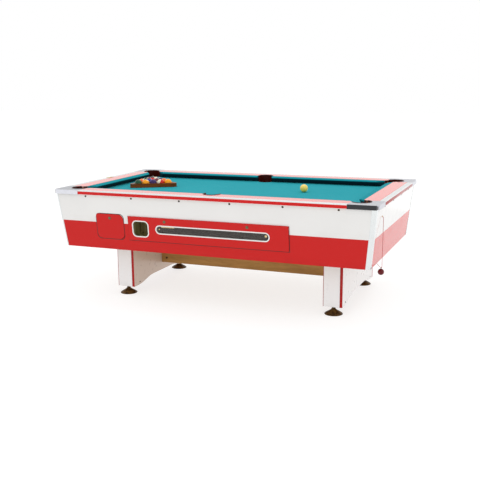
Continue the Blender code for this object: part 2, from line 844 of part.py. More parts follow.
def make_cup():
    """The box that the released balls are taken from, open at the front, on a stand."""
    x = (-0.578, TROUGH_X[0] - GAP)
    wall = 0.006
    cup = as_object("ball_cup", box(x, (-0.615, -0.500), (0.474, 0.604)), raw_board())
    stand = box(x, (-0.512, -0.5005), (FLOOR_TOP + GAP, 0.480))
    join(cup, helper("join_cup_stand", stand))
    inside = box((x[0] + wall, x[1] - wall), (-0.64, -0.500 - wall), (0.474 + wall, 0.604 - wall))
    cut(cup, helper("cut_cup_inside", inside))
    entry = box((x[1] - 0.02, x[1] + 0.02), (-0.611, -0.549), (0.5085, 0.572))
    cut(cup, helper("cut_cup_entry", entry))


def make_gate():
    """The plate that holds the balls back, with its spindle and the arm that the release rod pulls."""
    axis = (GATE_X, -0.545, GATE_Z)
    plate = box((GATE_X - 0.0015, GATE_X + 0.0015), (-0.611, -0.549), (0.5130, GATE_Z))
    gate = as_object("ball_gate", plate, steel(), axis)
    spindle = rod((GATE_X, -0.611, GATE_Z), (GATE_X, -0.480, GATE_Z), 0.0027, 12)
    arm = box((GATE_X - 0.002, GATE_X + 0.002), (-0.490, -0.4805), (0.535, GATE_Z))
    join(gate, helper("join_spindle", spindle), helper("join_arm", arm))


def make_release_rod():
    """A rod from the coin mechanism, with a cross pin behind the gate's arm."""
    start = (-0.675, ROD_Y, ROD_Z)
    end = (-0.330, ROD_Y, ROD_Z)
    bar = as_object("release_rod", rod(start, end, 0.0026, 12), steel(), start)
    pin = rod((GATE_X + 0.0065, ROD_Y, ROD_Z), (GATE_X + 0.0065, -0.491, ROD_Z), 0.0018, 10)
    join(bar, helper("join_cross_pin", pin))


def make_coin_mechanism():
    """The coin validator's case on two cheeks, with a coin chute through it and the rod's bore."""
    x = (-0.830, -0.660)
    case = as_object("coin_mechanism", box(x, (-0.598, -0.462), (0.530, 0.598)), steel())
    for side, low in (("left", x[0]), ("right", x[1] - 0.004)):
        cheek = box((low, low + 0.004), (-0.590, -0.470), (FLOOR_TOP + GAP, 0.531))
        join(case, helper("join_cheek_" + side, cheek))
    chute = box((-0.768, -0.722), (-0.560, -0.530), (0.50, 0.62))
    bore = rod((-0.740, ROD_Y, ROD_Z), (-0.650, ROD_Y, ROD_Z), 0.0040, 12)
    cut(case, helper("cut_chute", chute), helper("cut_rod_bore", bore))


def make_cash_box():
    x = (-0.818, -0.672)
    y = (-0.600, -0.474)
    wall = 0.002
    tray = as_object("cash_box", box(x, y, (FLOOR_TOP + GAP, 0.505)), steel())
    inside = box((x[0] + wall, x[1] - wall), (y[0] + wall, y[1] - wall), (FLOOR_TOP + wall, 0.53))
    cut(tray, helper("cut_cash_box", inside))


def racked_centres():
    """Ball centres in five rows, from the apex ball back towards the left cushion."""
    centres = []
    for row in range(5):
        for i in range(row + 1):
            x = RACK_APEX[0] - row * BALL * math.sin(math.radians(60))
            centres.append((x, RACK_APEX[1] + (i - row / 2) * BALL))
    return centres


def make_racked_balls():
    """Fifteen racked balls, held together as one solid by thin pins through their centres."""
    centres = racked_centres()
    z = BED_TOP + GAP + BALL / 2
    bm = bmesh.new()
    for x, y in centres:
        bmesh.ops.create_icosphere(bm, subdivisions=2, radius=BALL / 2 - GAP, matrix=Matrix.Translation((x, y, z)))
    balls = as_object("racked_balls", bm, racked_resin(), (*centres[0], z))
    rows = [(centres[r * (r + 1) // 2], centres[r * (r + 1) // 2 + r]) for r in range(1, 5)]
    rows.append((centres[0], centres[14]))
    for i, (start, end) in enumerate(rows):
        join(balls, helper("join_pin_%d" % i, rod((*start, z), (*end, z), 0.004, 8)))


def rack_outline(distance, radius):
    """The three outer ball centres' triangle, offset outwards, with its corners rounded to a radius."""
    centres = racked_centres()
    outline = []
    for (x, y), turn in ((centres[0], -60), (centres[14], 60), (centres[10], 180)):
        out = math.radians(turn + 60)
        corner = (distance - radius) / math.sin(math.radians(30))
        x += corner * math.cos(out)
        y += corner * math.sin(out)
        for i in range(9):
            angle = math.radians(turn + 120 * i / 8)
            outline.append((x + radius * math.cos(angle), y + radius * math.sin(angle)))
    return outline


def make_rack():
    inner = BALL / 2 + RACK_CLEAR
    low = BED_TOP + GAP
    inside, outside = RACK_CORNERS
    shape = prism_z(rack_outline(inner + RACK_WALL, outside), low, low + RACK_HEIGHT)
    rack = as_object("triangle_rack", shape, rack_wood(), (*RACK_APEX, low))
    cut(rack, helper("cut_rack", prism_z(rack_outline(inner, inside), low - 0.01, low + RACK_HEIGHT + 0.01)))


def make_cue_ball():
    place = (*CUE_BALL_AT, BED_TOP + GAP + BALL / 2)
    bm = bmesh.new()
    bmesh.ops.create_icosphere(bm, subdivisions=3, radius=BALL / 2, matrix=Matrix.Translation(place))
    as_object("cue_ball", bm, ball_resin(), place)


def smooth_route(points, step):
    """Points about step apart on one smooth curve through the route's points."""
    points = [Vector(p) for p in points]
    ends = [2 * points[0] - points[1], *points, 2 * points[-1] - points[-2]]
    fine = []
    for a, b, c, d in zip(ends, ends[1:], ends[2:], ends[3:]):
        for i in range(24):
            t = i / 24
            fine.append(0.5 * (2 * b + (c - a) * t + (2 * a - 5 * b + 4 * c - d) * t**2
                               + (3 * b - a - 3 * c + d) * t**3))
    fine.append(points[-1])
    kept = [fine[0]]
    for point in fine[1:-1]:
        if (point - kept[-1]).length >= step:
            kept.append(point)
    kept.append(fine[-1])
    return kept


def make_chalk_cord():
    points = smooth_route(CORD_ROUTE, 2.4 * CORD_DIAMETER)
    curve = bpy.data.curves.new("chalk_cord", "CURVE")
    curve.dimensions = "3D"
    curve.bevel_depth = CORD_DIAMETER / 2
    curve.bevel_resolution = 2
    curve.use_fill_caps = True
    spline = curve.splines.new("POLY")
    spline.points.add(len(points) - 1)
    for place, point in zip(spline.points, points):
        place.co = (*point, 1)
    curve.materials.append(cord_cotton())
    bpy.context.scene.collection.objects.link(bpy.data.objects.new("chalk_cord", curve))


def make_chalk_bob():
    """A turned ball with a wire eye on top, which the cord runs through."""
    bm = bmesh.new()
    bmesh.ops.create_uvsphere(bm, u_segments=20, v_segments=12, radius=BOB_RADIUS,
                              matrix=Matrix.Translation(BOB_AT))
    bob = as_object("chalk_bob", bm, bob_wood(), BOB_AT)
    ring = []
    for i in range(8):
        angle = 2 * math.pi * i / 8
        ring.append((BOB_EYE_RADIUS + BOB_EYE_WIRE * math.cos(angle), BOB_EYE_WIRE * math.sin(angle)))
    eye = Vector(BOB_EYE)
    along = Vector((CORD_IN[0] - CORD_ROUTE[7][0], CORD_IN[1] - CORD_OUT[0], 0))
    axis = Matrix.Translation(eye) @ along.to_track_quat("Z", "Y").to_matrix().to_4x4()
    join(bob, helper("join_eye", turned(ring, 16, axis)))
    shank = rod(BOB_AT, eye - Vector((0, 0, BOB_EYE_RADIUS - 0.0004)), 0.0012, 8)
    join(bob, helper("join_shank", shank))


def main():
    clear_scene()
    cutters = make_pocket_cutters()
    mouths = make_mouth_cutters()
    make_aprons()
    make_cabinet_floor()
    make_slate(cutters)
    make_bed_cloth(cutters)
    for side in SIDES:
        make_rail(side, cutters, mouths)
        make_trim(side)
    make_cushions(cutters)
    make_castings(cutters, mouths)
    make_liners()
    make_leg_unit("left")
    make_leg_unit("right")
    make_stretcher()
    make_levellers()
    make_coin_door()
    make_service_panel()
    make_ball_deck()
    make_trough()
    make_cup()
    make_gate()
    make_release_rod()
    make_coin_mechanism()
    make_cash_box()
    make_rack()
    make_racked_balls()
    make_cue_ball()
    make_chalk_cord()
    make_chalk_bob()


main()
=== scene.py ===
"""The looks of a coin-operated pool table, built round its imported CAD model."""

import json
import math
import random

import bmesh
import bpy
from mathutils import Matrix, Quaternion, Vector

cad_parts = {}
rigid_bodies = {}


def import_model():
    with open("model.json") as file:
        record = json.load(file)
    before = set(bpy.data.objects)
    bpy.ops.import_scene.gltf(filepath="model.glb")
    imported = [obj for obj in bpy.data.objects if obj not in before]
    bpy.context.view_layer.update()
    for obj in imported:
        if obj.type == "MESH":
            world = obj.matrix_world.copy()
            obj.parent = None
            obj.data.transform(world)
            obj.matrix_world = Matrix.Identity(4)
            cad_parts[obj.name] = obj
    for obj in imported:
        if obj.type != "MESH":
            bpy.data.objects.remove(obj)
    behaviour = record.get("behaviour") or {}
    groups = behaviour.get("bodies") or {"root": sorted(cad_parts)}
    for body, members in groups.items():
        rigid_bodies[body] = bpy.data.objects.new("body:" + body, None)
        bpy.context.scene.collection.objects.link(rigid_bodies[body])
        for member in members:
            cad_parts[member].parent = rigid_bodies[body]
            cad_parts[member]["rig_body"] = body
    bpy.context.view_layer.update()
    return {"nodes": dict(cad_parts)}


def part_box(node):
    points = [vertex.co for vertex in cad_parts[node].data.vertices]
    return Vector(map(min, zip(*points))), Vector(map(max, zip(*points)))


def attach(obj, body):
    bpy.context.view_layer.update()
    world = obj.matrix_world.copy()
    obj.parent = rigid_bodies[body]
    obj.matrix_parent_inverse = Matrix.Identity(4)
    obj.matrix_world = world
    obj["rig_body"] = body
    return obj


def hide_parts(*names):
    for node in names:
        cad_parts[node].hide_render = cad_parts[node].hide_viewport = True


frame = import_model()
NODES = frame["nodes"]
shift = Matrix.Translation

SIDES = {"front": 0, "right": 90, "rear": 180, "left": -90}
CORNERS = ("front_left", "front_right", "rear_left", "rear_right")
POCKETS = ("front_left", "front_middle", "front_right", "rear_left", "rear_middle", "rear_right")

# The frame's own sizes that pieces are placed by: outside edge and top of the rails, and so on
RAIL_X, RAIL_Y, RAIL_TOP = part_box("corner_casting_rear_right")[1]
BED_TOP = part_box("bed_cloth")[1].z
FRONT_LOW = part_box("apron_front")[0]
CABINET_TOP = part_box("apron_front")[1].z
CABINET_BOTTOM = FRONT_LOW.z
TOP_INSET = RAIL_Y + FRONT_LOW.y

TILT = math.radians(5.93)  # lean of the cabinet's boards
COLOUR_SPLIT = 0.570  # where the boards' white meets their red
BOLT_HEIGHT = 0.7535
TRIM_BAND = (0.7672, 0.7884)  # low and high edges of the red band in a rail's trim
EDGING = 0.0035  # width of the red edging on a leg's board
POCKET_REACH = 0.095  # from a liner's middle to the farthest rail face of its mouth
BALL = 0.05715
ROW = BALL * math.sin(math.radians(60))  # from one row of the rack to the next

# Camera: where it stands, where it looks, and how far the picture is shifted
CAMERA_AT = (2.158, -5.365, 1.552)
CAMERA_YAW = -22.44
CAMERA_PITCH = 12.86
CAMERA_ROLL = -0.54
CAMERA_LENS = 58.54
CAMERA_SHIFT = (0.0115, 0.0374)

# On the leaning front: the coin door's middle, and its width, height and corner radius
COIN_DOOR = (-0.7425, 0.5437)
COIN_DOOR_SIZE = (0.219, 0.1805, 0.030)
PANEL_FACE = 0.0065  # how far the service panel stands out
# Where each lock's face is: along the table, up, and out
LOCKS = {
    "coin_door_lock": (COIN_DOOR[0], 0.604, 0.0037),
    "service_lock_left": (-0.306, 0.603, PANEL_FACE + 0.0022),
    "service_lock_right": (0.306, 0.603, PANEL_FACE + 0.0022),
}

# The chalk cord, from the hole in the right side to the one in the cabinet floor, and its bob
SIDE_HOLE = (1.1580, -0.4670, 0.6940)
BOB_EYE = (1.1590, -0.4566, 0.3543)
GROOVED_STEPS = (13, 19)
CORD_DIAMETER = 0.003
CORD_ROUTE = [
    (1.1480, -0.4670, 0.6940),
    (1.1530, -0.4670, 0.6940),
    (1.1580, -0.4670, 0.6936),
    (1.1628, -0.4670, 0.6912),
    (1.1656, -0.4670, 0.6864),
    (1.1662, -0.4670, 0.6800),
    (1.1662, -0.4670, 0.6500),
    (1.1662, -0.4670, 0.6000),
    (1.1662, -0.4670, 0.5400),
    (1.1662, -0.4670, 0.4800),
    (1.1661, -0.4670, 0.4300),
    (1.1660, -0.4669, 0.3900),
    (1.1657, -0.4664, 0.3700),
    (1.1645, -0.4646, 0.3605),
    (1.1615, -0.4602, 0.3552),
    (1.1569, -0.4535, 0.3542),
    (1.1500, -0.4435, 0.3556),
    (1.1400, -0.4290, 0.3582),
    (1.1250, -0.4072, 0.3625),
    (1.1100, -0.3858, 0.3672),
    (1.0990, -0.3705, 0.3715),
    (1.0930, -0.3628, 0.3765),
    (1.0905, -0.3602, 0.3830),
    (1.0900, -0.3600, 0.3900),
]


# ---- camera, floor and light

def make_camera():
    yaw, pitch, roll = (math.radians(a) for a in (CAMERA_YAW, CAMERA_PITCH, CAMERA_ROLL))
    ahead = Vector((math.sin(yaw) * math.cos(pitch), math.cos(yaw) * math.cos(pitch), -math.sin(pitch)))
    light_level = Vector((math.cos(yaw), -math.sin(yaw), 0))
    up = light_level.cross(ahead)
    right = light_level * math.cos(roll) + up * math.sin(roll)
    up = up * math.cos(roll) - light_level * math.sin(roll)
    data = bpy.data.cameras.new("camera")
    data.lens = CAMERA_LENS
    data.sensor_width = 36
    data.shift_x, data.shift_y = CAMERA_SHIFT
    camera = bpy.data.objects.new("camera", data)
    camera.matrix_world = shift(CAMERA_AT) @ Matrix((right, up, -ahead)).transposed().to_4x4()
    bpy.context.scene.collection.objects.link(camera)
    bpy.context.scene.camera = camera


def area_light(name, place, target, size, power):
    data = bpy.data.lights.new(name, "AREA")
    data.shape = "RECTANGLE"
    data.size, data.size_y = size
    data.energy = power
    light = bpy.data.objects.new(name, data)
    light.location = place
    light.rotation_euler = (Vector(target) - Vector(place)).to_track_quat("-Z", "Y").to_euler()
    light.visible_camera = False
    bpy.context.scene.collection.objects.link(light)


def make_studio():
    world = bpy.data.worlds.new("studio")
    world.use_nodes = True
    back = world.node_tree.nodes["Background"]
    back.inputs["Color"].default_value = (1.0, 1.0, 1.0, 1)
    back.inputs["Strength"].default_value = 1.0
    bpy.context.scene.world = world
    bpy.context.scene.view_settings.view_transform = "Standard"
    area_light("overhead", (0.3, 0.4, 4.2), (0, 0, 0.6), (4.0, 3.0), 26)
    area_light("side", (4.6, -0.6, 2.6), (0.3, 0, 0.5), (3.0, 2.2), 3)
    area_light("rear_side", (2.2, 3.2, 0.45), (1.1, 0, 0.5), (1.6, 0.9), 1.5)
    floor = mesh_object("floor", grid(Vector((0, 0, 0)), 60, 60), floor_paint())


# ---- meshes

def add_object(name, data):
    made = bpy.data.objects.new(name, data)
    bpy.context.scene.collection.objects.link(made)
    return made


def mesh_object(name, bm, *materials, sharp=35):
    """A mesh object from a bmesh, shaded smooth but for edges sharper than the angle."""
    bmesh.ops.recalc_face_normals(bm, faces=bm.faces)
    mesh = bpy.data.meshes.new(name)
    bm.to_mesh(mesh)
    bm.free()
    for material in materials:
        mesh.materials.append(material)
    mesh.shade_smooth()
    mesh.set_sharp_from_angle(angle=math.radians(sharp))
    return add_object(name, mesh)


def piece(name, bm, slot, *materials, body="table", sharp=35):
    made = mesh_object(name, bm, *materials, sharp=sharp)
    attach(made, body)
    return made


def grid(middle, width, depth):
    bm = bmesh.new()
    bmesh.ops.create_grid(bm, x_segments=1, y_segments=1, size=0.5,
                          matrix=shift(middle) @ Matrix.Diagonal((width, depth, 1, 1)))
    return bm


def bevelled_box(x, y, z, width, segments=2):
    """A box between two values on each axis, with its edges cut back by that width."""
    bm = bmesh.new()
    size = Vector((x[1] - x[0], y[1] - y[0], z[1] - z[0]))
    middle = Vector((x[1] + x[0], y[1] + y[0], z[1] + z[0])) / 2
    bmesh.ops.create_cube(bm, size=1, matrix=shift(middle) @ Matrix.Diagonal((*size, 1)))
    bmesh.ops.bevel(bm, geom=bm.edges, offset=width, segments=segments, affect="EDGES", profile=0.5)
    return bm


def moved(bm, place):
    bmesh.ops.transform(bm, matrix=place, verts=bm.verts)
    return bm


def turned(profile, sides, place=Matrix.Identity(4)):
    """A profile of (radius, height) points turned about Z. It closes on itself if none is on the axis."""
    bm = bmesh.new()
    rings = []
    for radius, height in profile:
        if radius == 0:
            rings.append([bm.verts.new((0, 0, height))])
            continue
        angles = [2 * math.pi * i / sides for i in range(sides)]
        rings.append([bm.verts.new((radius * math.cos(a), radius * math.sin(a), height)) for a in angles])
    closed = all(radius > 0 for radius, _ in profile)
    pairs = list(zip(rings, rings[1:])) + ([(rings[-1], rings[0])] if closed else [])
    for low, high in pairs:
        for i in range(sides):
            j = (i + 1) % sides
            corners = [low[i % len(low)], low[j % len(low)], high[j % len(high)], high[i % len(high)]]
            bm.faces.new(list(dict.fromkeys(corners)))
    return moved(bm, place)


def arc(middle, radius, start, end, steps):
    """Points of an arc as (x, y), with its angles in degrees."""
    points = []
    for i in range(steps + 1):
        angle = math.radians(start + (end - start) * i / steps)
        points.append((middle[0] + radius * math.cos(angle), middle[1] + radius * math.sin(angle)))
    return points


def rounded(width, height, radius, steps):
    """A rounded rectangle about the origin, anticlockwise."""
    outline = []
    for sx, sy, turn in ((1, 1, 0), (-1, 1, 90), (-1, -1, 180), (1, -1, 270)):
        middle = (sx * (width / 2 - radius), sy * (height / 2 - radius))
        outline += arc(middle, radius, turn, turn + 90, steps)
    return outline


def moulding(section, width, tall, radius, steps, place):
    """A closed band round a rounded rectangle. Its section's points are (distance outwards, height)."""
    bm = bmesh.new()
    loops = []
    for offset, height in section:
        outline = rounded(width + 2 * offset, tall + 2 * offset, radius + offset, steps)
        loops.append([bm.verts.new(place @ Vector((x, y, height))) for x, y in outline])
    for a, b in zip(loops, loops[1:] + loops[:1]):
        for i in range(len(a)):
            j = (i + 1) % len(a)
            bm.faces.new((a[i], a[j], b[j], b[i]))
    return bm


def joined(*parts):
    """One bmesh from several."""
    whole = bmesh.new()
    for bm in parts:
        mesh = bpy.data.meshes.new("part")
        bm.to_mesh(mesh)
        bm.free()
        whole.from_mesh(mesh)
        bpy.data.meshes.remove(mesh)
    return whole


def turn_to(side):
    """The turn from the front to that side."""
    return Matrix.Rotation(math.radians(SIDES[side]), 4, "Z")


def cad_copy(node):
    """A bmesh of a CAD node, with its flat faces made whole."""
    bm = bmesh.new()
    bm.from_mesh(NODES[node].data)
    bmesh.ops.remove_doubles(bm, verts=bm.verts, dist=1e-6)
    bmesh.ops.dissolve_limit(bm, angle_limit=math.radians(0.6), verts=bm.verts, edges=bm.edges)
    return bm


def finished(node, width, slot, *materials, segments=2, pick=None, angle=32, sharp=40):
    """A copy of a CAD node with its edges rounded, to stand for it. pick gives a face's material."""
    bm = cad_copy(node)
    bmesh.ops.recalc_face_normals(bm, faces=bm.faces)
    if pick:
        for face in bm.faces:
            face.material_index = pick(face)
    body = NODES[node]["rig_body"]
    made = piece(node + "_finished", bm, slot, *materials, body=body, sharp=sharp)
    bevel = made.modifiers.new("rounded_edges", "BEVEL")
    bevel.width = width
    bevel.segments = segments
    bevel.limit_method = "ANGLE"
    bevel.angle_limit = math.radians(angle)
    bevel.harden_normals = True
    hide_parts(node)
    return made


def front_inset(z):
    return TOP_INSET + (CABINET_TOP - z) * math.tan(TILT)


def front_frame(x, z, out=0.0):
    """X along the table, Y up the leaning front face and Z out of it."""
    face = Vector((x, -(RAIL_Y - front_inset(z)), z))
    place = face + out * Vector((0, -math.cos(TILT), -math.sin(TILT)))
    return shift(place) @ Matrix.Rotation(math.pi / 2 + TILT, 4, "X")


# ---- materials

def linear(red, green, blue):
    """A colour from its 0 to 255 screen values."""
    shares = [v / 255 for v in (red, green, blue)]
    return tuple(s / 12.92 if s <= 0.04045 else ((s + 0.055) / 1.055) ** 2.4 for s in shares)


def toned(colour, share):
    return tuple(c * share for c in colour)


def lengthwise(along, share):
    """A stretch for noise that draws it out along X, Y or Z."""
    return tuple(share if axis == along else 1.0 for axis in "xyz")


RED = linear(197, 24, 22)
WHITE = linear(229, 228, 226)


class Look:
    """A Principled material with short ways to build its colour, roughness and relief."""

    made = {}

    def __init__(self, name):
        self.material = bpy.data.materials.new(name)
        self.material.use_nodes = True
        self.tree = self.material.node_tree
        self.shader = self.tree.nodes["Principled BSDF"]
        self.place = self.node("ShaderNodeTexCoord").outputs["Object"]

    def base(self, colour, roughness, metallic=0.0, **sockets):
        """Sets the shader's own values; a socket with a space in its name has _ in its place."""
        self.shader.inputs["Base Color"].default_value = (*colour, 1.0)
        self.shader.inputs["Roughness"].default_value = roughness
        self.shader.inputs["Metallic"].default_value = metallic
        for socket, value in sockets.items():
            self.shader.inputs[socket.replace("_", " ")].default_value = value

    def node(self, kind, settings=None, **inputs):
        made = self.tree.nodes.new(kind)
        for key, value in (settings or {}).items():
            setattr(made, key, value)
        for key, value in inputs.items():
            socket = made.inputs[int(key[1:])] if key[0] == "i" and key[1:].isdigit() else made.inputs[key]
            if isinstance(value, bpy.types.NodeSocket):
                self.tree.links.new(value, socket)
            else:
                socket.default_value = value
        return made

    def stretched(self, scale):
        return self.node("ShaderNodeMapping", Vector=self.place, Scale=scale).outputs["Vector"]

    def noise(self, scale, detail=3.0, rough=0.5, stretch=None, distortion=0.0):
        where = self.stretched(stretch) if stretch else self.place
        made = self.node("ShaderNodeTexNoise", Vector=where, Scale=scale, Detail=detail,
                         Roughness=rough, Distortion=distortion)
        return made.outputs["Fac"]

    def axis(self, index):
        parts = self.node("ShaderNodeSeparateXYZ", Vector=self.place)
        return parts.outputs[index]

    def maths(self, operation, a, b=0.0):
        return self.node("ShaderNodeMath", {"operation": operation}, i0=a, i1=b).outputs[0]

    def spread(self, value, low, high, to_low=0.0, to_high=1.0):
        made = self.node("ShaderNodeMapRange", {"clamp": True}, Value=value)
        for name, number in (("From Min", low), ("From Max", high), ("To Min", to_low), ("To Max", to_high)):
            made.inputs[name].default_value = number
        return made.outputs["Result"]

    def mix(self, factor, a, b):
        made = self.tree.nodes.new("ShaderNodeMix")
        made.data_type = "RGBA"
        for index, value in ((0, factor), (6, a), (7, b)):
            if isinstance(value, bpy.types.NodeSocket):
                self.tree.links.new(value, made.inputs[index])
            else:
                made.inputs[index].default_value = value if index == 0 else (*value[:3], 1.0)
        return made.outputs[2]

    def paint(self, colour):
        self.tree.links.new(colour, self.shader.inputs["Base Color"])

    def rough(self, value):
        self.tree.links.new(value, self.shader.inputs["Roughness"])

    def relief(self, height, distance, strength):
        """Adds bump, on top of any that the material has."""
        bump = self.node("ShaderNodeBump", Height=height, Distance=distance, Strength=strength)
        normal = self.shader.inputs["Normal"]
        if normal.is_linked:
            self.tree.links.new(normal.links[0].from_socket, bump.inputs["Normal"])
        self.tree.links.new(bump.outputs["Normal"], normal)

    def shades(self, scale, detail, dark, light):
        """Colour that drifts between two over noise."""
        self.paint(self.mix(self.noise(scale, detail), dark, light))

    def gloss(self, scale, detail, low, high, rise=(0.3, 0.7)):
        """Roughness that drifts between two values over noise."""
        self.rough(self.spread(self.noise(scale, detail), *rise, low, high))

    def grit(self, scale, detail, depth, strength, rough=0.5):
        """Relief from noise."""
        self.relief(self.noise(scale, detail, rough), depth, strength)


def kept(maker):
    """Makes a material the first time that it is asked for, named after its maker and its words."""
    def give(*words):
        name = "_".join((maker.__name__, *map(str, words)))
        if name not in Look.made:
            look = Look(name)
            maker(look, *words)
            Look.made[name] = look.material
        return Look.made[name]
    return give


@kept
def floor_paint(look):
    """A pale matt floor that glows, so that what stands on it casts only a faint shadow."""
    look.base(linear(150, 150, 150), 0.9, Emission_Strength=0.74)
    look.shader.inputs["Emission Color"].default_value = (1.0, 1.0, 1.0, 1.0)
    look.paint(look.mix(look.noise(0.4), linear(148, 148, 149), linear(152, 152, 152)))


def worn_laminate(look, colour, dirt, low):
    """Faint mottling, a little grime rising from the lower edge, and a few thin scuffs."""
    mottled = look.mix(look.noise(5.0, 4), toned(colour, 0.97), toned(colour, 1.03))
    rising = look.spread(look.axis(2), low, low + 0.05, 0.22, 0.0)
    grime = look.maths("MULTIPLY", rising, look.spread(look.noise(11.0, 6), 0.42, 0.72))
    scuffs = look.spread(look.noise(9.0, 6, 0.6, stretch=(1.0, 1.0, 12.0)), 0.66, 0.80, 0.0, 0.03)
    return look.mix(look.maths("MAXIMUM", grime, scuffs), mottled, dirt)


@kept
def red_laminate(look):
    look.base(RED, 0.16, Specular_IOR_Level=0.22)
    look.paint(worn_laminate(look, RED, linear(120, 14, 14), CABINET_BOTTOM))
    look.gloss(16.0, 5, 0.11, 0.24, (0.3, 0.75))
    look.grit(420.0, 2, 0.00004, 0.35)


@kept
def two_colour_laminate(look, kind):
    """White laminate over a red band, on the leaning boards; the right side's kind has a paler red band, a
    painted reflection of the light that glances off that side.
    """
    band = linear(212, 70, 64) if kind == "faded" else RED
    look.base(WHITE, 0.16, Specular_IOR_Level=0.5 if kind == "faded" else 0.22)
    white = worn_laminate(look, WHITE, linear(196, 190, 182), COLOUR_SPLIT)
    red = worn_laminate(look, band, toned(band, 0.5), CABINET_BOTTOM)
    height = look.axis(2)
    above = look.maths("GREATER_THAN", height, COLOUR_SPLIT)
    look.paint(look.mix(above, red, white))
    look.gloss(16.0, 5, 0.11, 0.24, (0.3, 0.75))
    seam = look.spread(look.maths("ABSOLUTE", look.maths("SUBTRACT", height, COLOUR_SPLIT)), 0.0, 0.0008)
    look.relief(seam, 0.0003, 0.6)
    look.grit(420.0, 2, 0.00004, 0.35)


@kept
def leg_laminate(look, kind):
    """White laminate; the browner kind is painted shade and brown bounce light, on the left leg's face that
    looks at the raw stretcher.
    """
    colour = linear(206, 188, 174) if kind == "dusty" else linear(234, 232, 232)
    look.base(colour, 0.2, Coat_Weight=0.15, Coat_Roughness=0.1)
    white = worn_laminate(look, colour, linear(170, 160, 148), 0.05)
    smear = look.spread(look.noise(9.0, 5, 0.6, stretch=(3.0, 3.0, 0.8)), 0.56, 0.78, 0.0, 0.03)
    look.paint(look.mix(smear, white, toned(colour, 0.85)))
    look.gloss(22.0, 4, 0.27, 0.29)
    look.grit(420.0, 2, 0.00003, 0.25)


@kept
def rail_laminate(look):
    """Glossy red laminate with fine scratches and a soft marbling."""
    look.base(linear(230, 62, 44), 0.16, Coat_Weight=0.4, Coat_Roughness=0.06)
    marbled = look.mix(look.noise(14.0, 6, 0.6, distortion=1.2), linear(227, 56, 38), linear(233, 68, 50))
    rubbed = look.spread(look.noise(30.0, 6, 0.7), 0.60, 0.80, 0.0, 0.15)
    look.paint(look.mix(rubbed, marbled, linear(244, 140, 120)))
    look.gloss(60.0, 5, 0.16, 0.22, (0.3, 0.75))
    look.grit(500.0, 2, 0.00004, 0.4)


@kept
def strip_red(look, red, other=16):
    """Coloured edging, from its red, and its green and blue together, on a scale of 0 to 255."""
    look.base(linear(red, other, other), 0.24, Specular_IOR_Level=0.25)
    look.shades(24.0, 4, linear(red - 8, other - 4, other - 4), linear(red + 6, other + 4, other))
    look.gloss(80.0, 4, 0.2, 0.36)
    look.grit(700.0, 2, 0.00004, 0.4)


@kept
def cast_aluminium(look, light_level):
    """Polished sand-cast aluminium, freckled by handling. Its brightness is a level in percent, set apart
    for each casting's top and skirt as painted light and shade.
    """
    bright = toned((0.96, 0.97, 1.04), light_level / 100)
    look.base(bright, 0.34, 1.0)
    freckles = look.spread(look.noise(190.0, 5, 0.65), 0.35, 0.68)
    freckled = look.mix(freckles, toned(bright, 0.86), bright)
    dulled = look.spread(look.noise(22.0, 5), 0.45, 0.75, 0.0, 0.35)
    look.paint(look.mix(dulled, freckled, toned(bright, 0.80)))
    look.gloss(120.0, 5, 0.26, 0.46)
    look.grit(340.0, 4, 0.0002, 0.35, 0.6)


@kept
def drawn_aluminium(look, along):
    """Extruded aluminium with fine lines along its length."""
    look.base((0.74, 0.76, 0.76), 0.26, 1.0)
    lines = look.noise(900.0, 3, 0.6, stretch=lengthwise(along, 0.04))
    look.shades(9.0, 4, (0.68, 0.71, 0.71), (0.80, 0.82, 0.82))
    look.rough(look.spread(lines, 0.3, 0.7, 0.20, 0.36))
    look.relief(lines, 0.00005, 0.4)


@kept
def bed_baize(look):
    """Worsted pool cloth with a fine weave, faint play wear and specks of chalk."""
    look.base(linear(30, 152, 164), 0.92, Specular_IOR_Level=0.1, Sheen_Weight=0.05)
    look.shader.inputs["Sheen Tint"].default_value = (*linear(150, 225, 230), 1)
    ground = look.mix(look.noise(2.2, 4), linear(24, 146, 158), linear(36, 158, 169))
    tracks = look.spread(look.noise(3.0, 4, 0.5, stretch=(0.5, 2.4, 1.0)), 0.52, 0.78, 0.0, 0.20)
    worn = look.mix(tracks, ground, linear(52, 168, 178))
    chalk = look.spread(look.noise(210.0, 2, 0.5), 0.74, 0.80, 0.0, 0.25)
    look.paint(look.mix(chalk, worn, linear(150, 205, 214)))
    weave_relief(look)


def weave_relief(look):
    """Two crossed sets of fine threads, 0.6 mm apart."""
    threads = []
    for direction in ("X", "Y"):
        wave = look.node("ShaderNodeTexWave", {"wave_type": "BANDS", "bands_direction": direction},
                         Vector=look.place, Scale=260.0, Distortion=0.6, Detail=1.0)
        threads.append(wave.outputs["Fac"])
    look.relief(look.maths("MAXIMUM", *threads), 0.00012, 0.5)
    look.grit(900.0, 3, 0.00015, 0.35, 0.7)


@kept
def cushion_baize(look):
    """The same cloth over the cushions, with painted shade darkening the undercut face below the nose."""
    look.base(linear(10, 140, 152), 0.92, Specular_IOR_Level=0.1, Sheen_Weight=0.04)
    look.shader.inputs["Sheen Tint"].default_value = (*linear(150, 225, 230), 1)
    top = look.mix(look.noise(30.0, 4), linear(4, 134, 146), linear(18, 146, 157))
    # Painted shade: the cloth turns dark teal below the cushion's nose.
    nose = BED_TOP + 0.0345
    undercut_shade = look.spread(look.axis(2), nose - 0.004, nose + 0.003, 1.0, 0.0)
    look.paint(look.mix(undercut_shade, top, linear(0, 44, 54)))
    weave_relief(look)


@kept
def liner_plastic(look):
    look.base(linear(58, 12, 6), 0.45, Specular_IOR_Level=0.12)
    look.shades(45.0, 5, linear(48, 8, 3), linear(76, 16, 8))
    look.gloss(140.0, 4, 0.30, 0.52)
    look.grit(300.0, 4, 0.0002, 0.5, 0.6)


@kept
def slate_stone(look):
    look.base((0.10, 0.11, 0.12), 0.7)
    look.paint(look.mix(look.noise(12.0, 7, 0.65), (0.07, 0.08, 0.09), (0.16, 0.17, 0.18)))
    look.grit(60.0, 8, 0.0006, 0.5, 0.7)


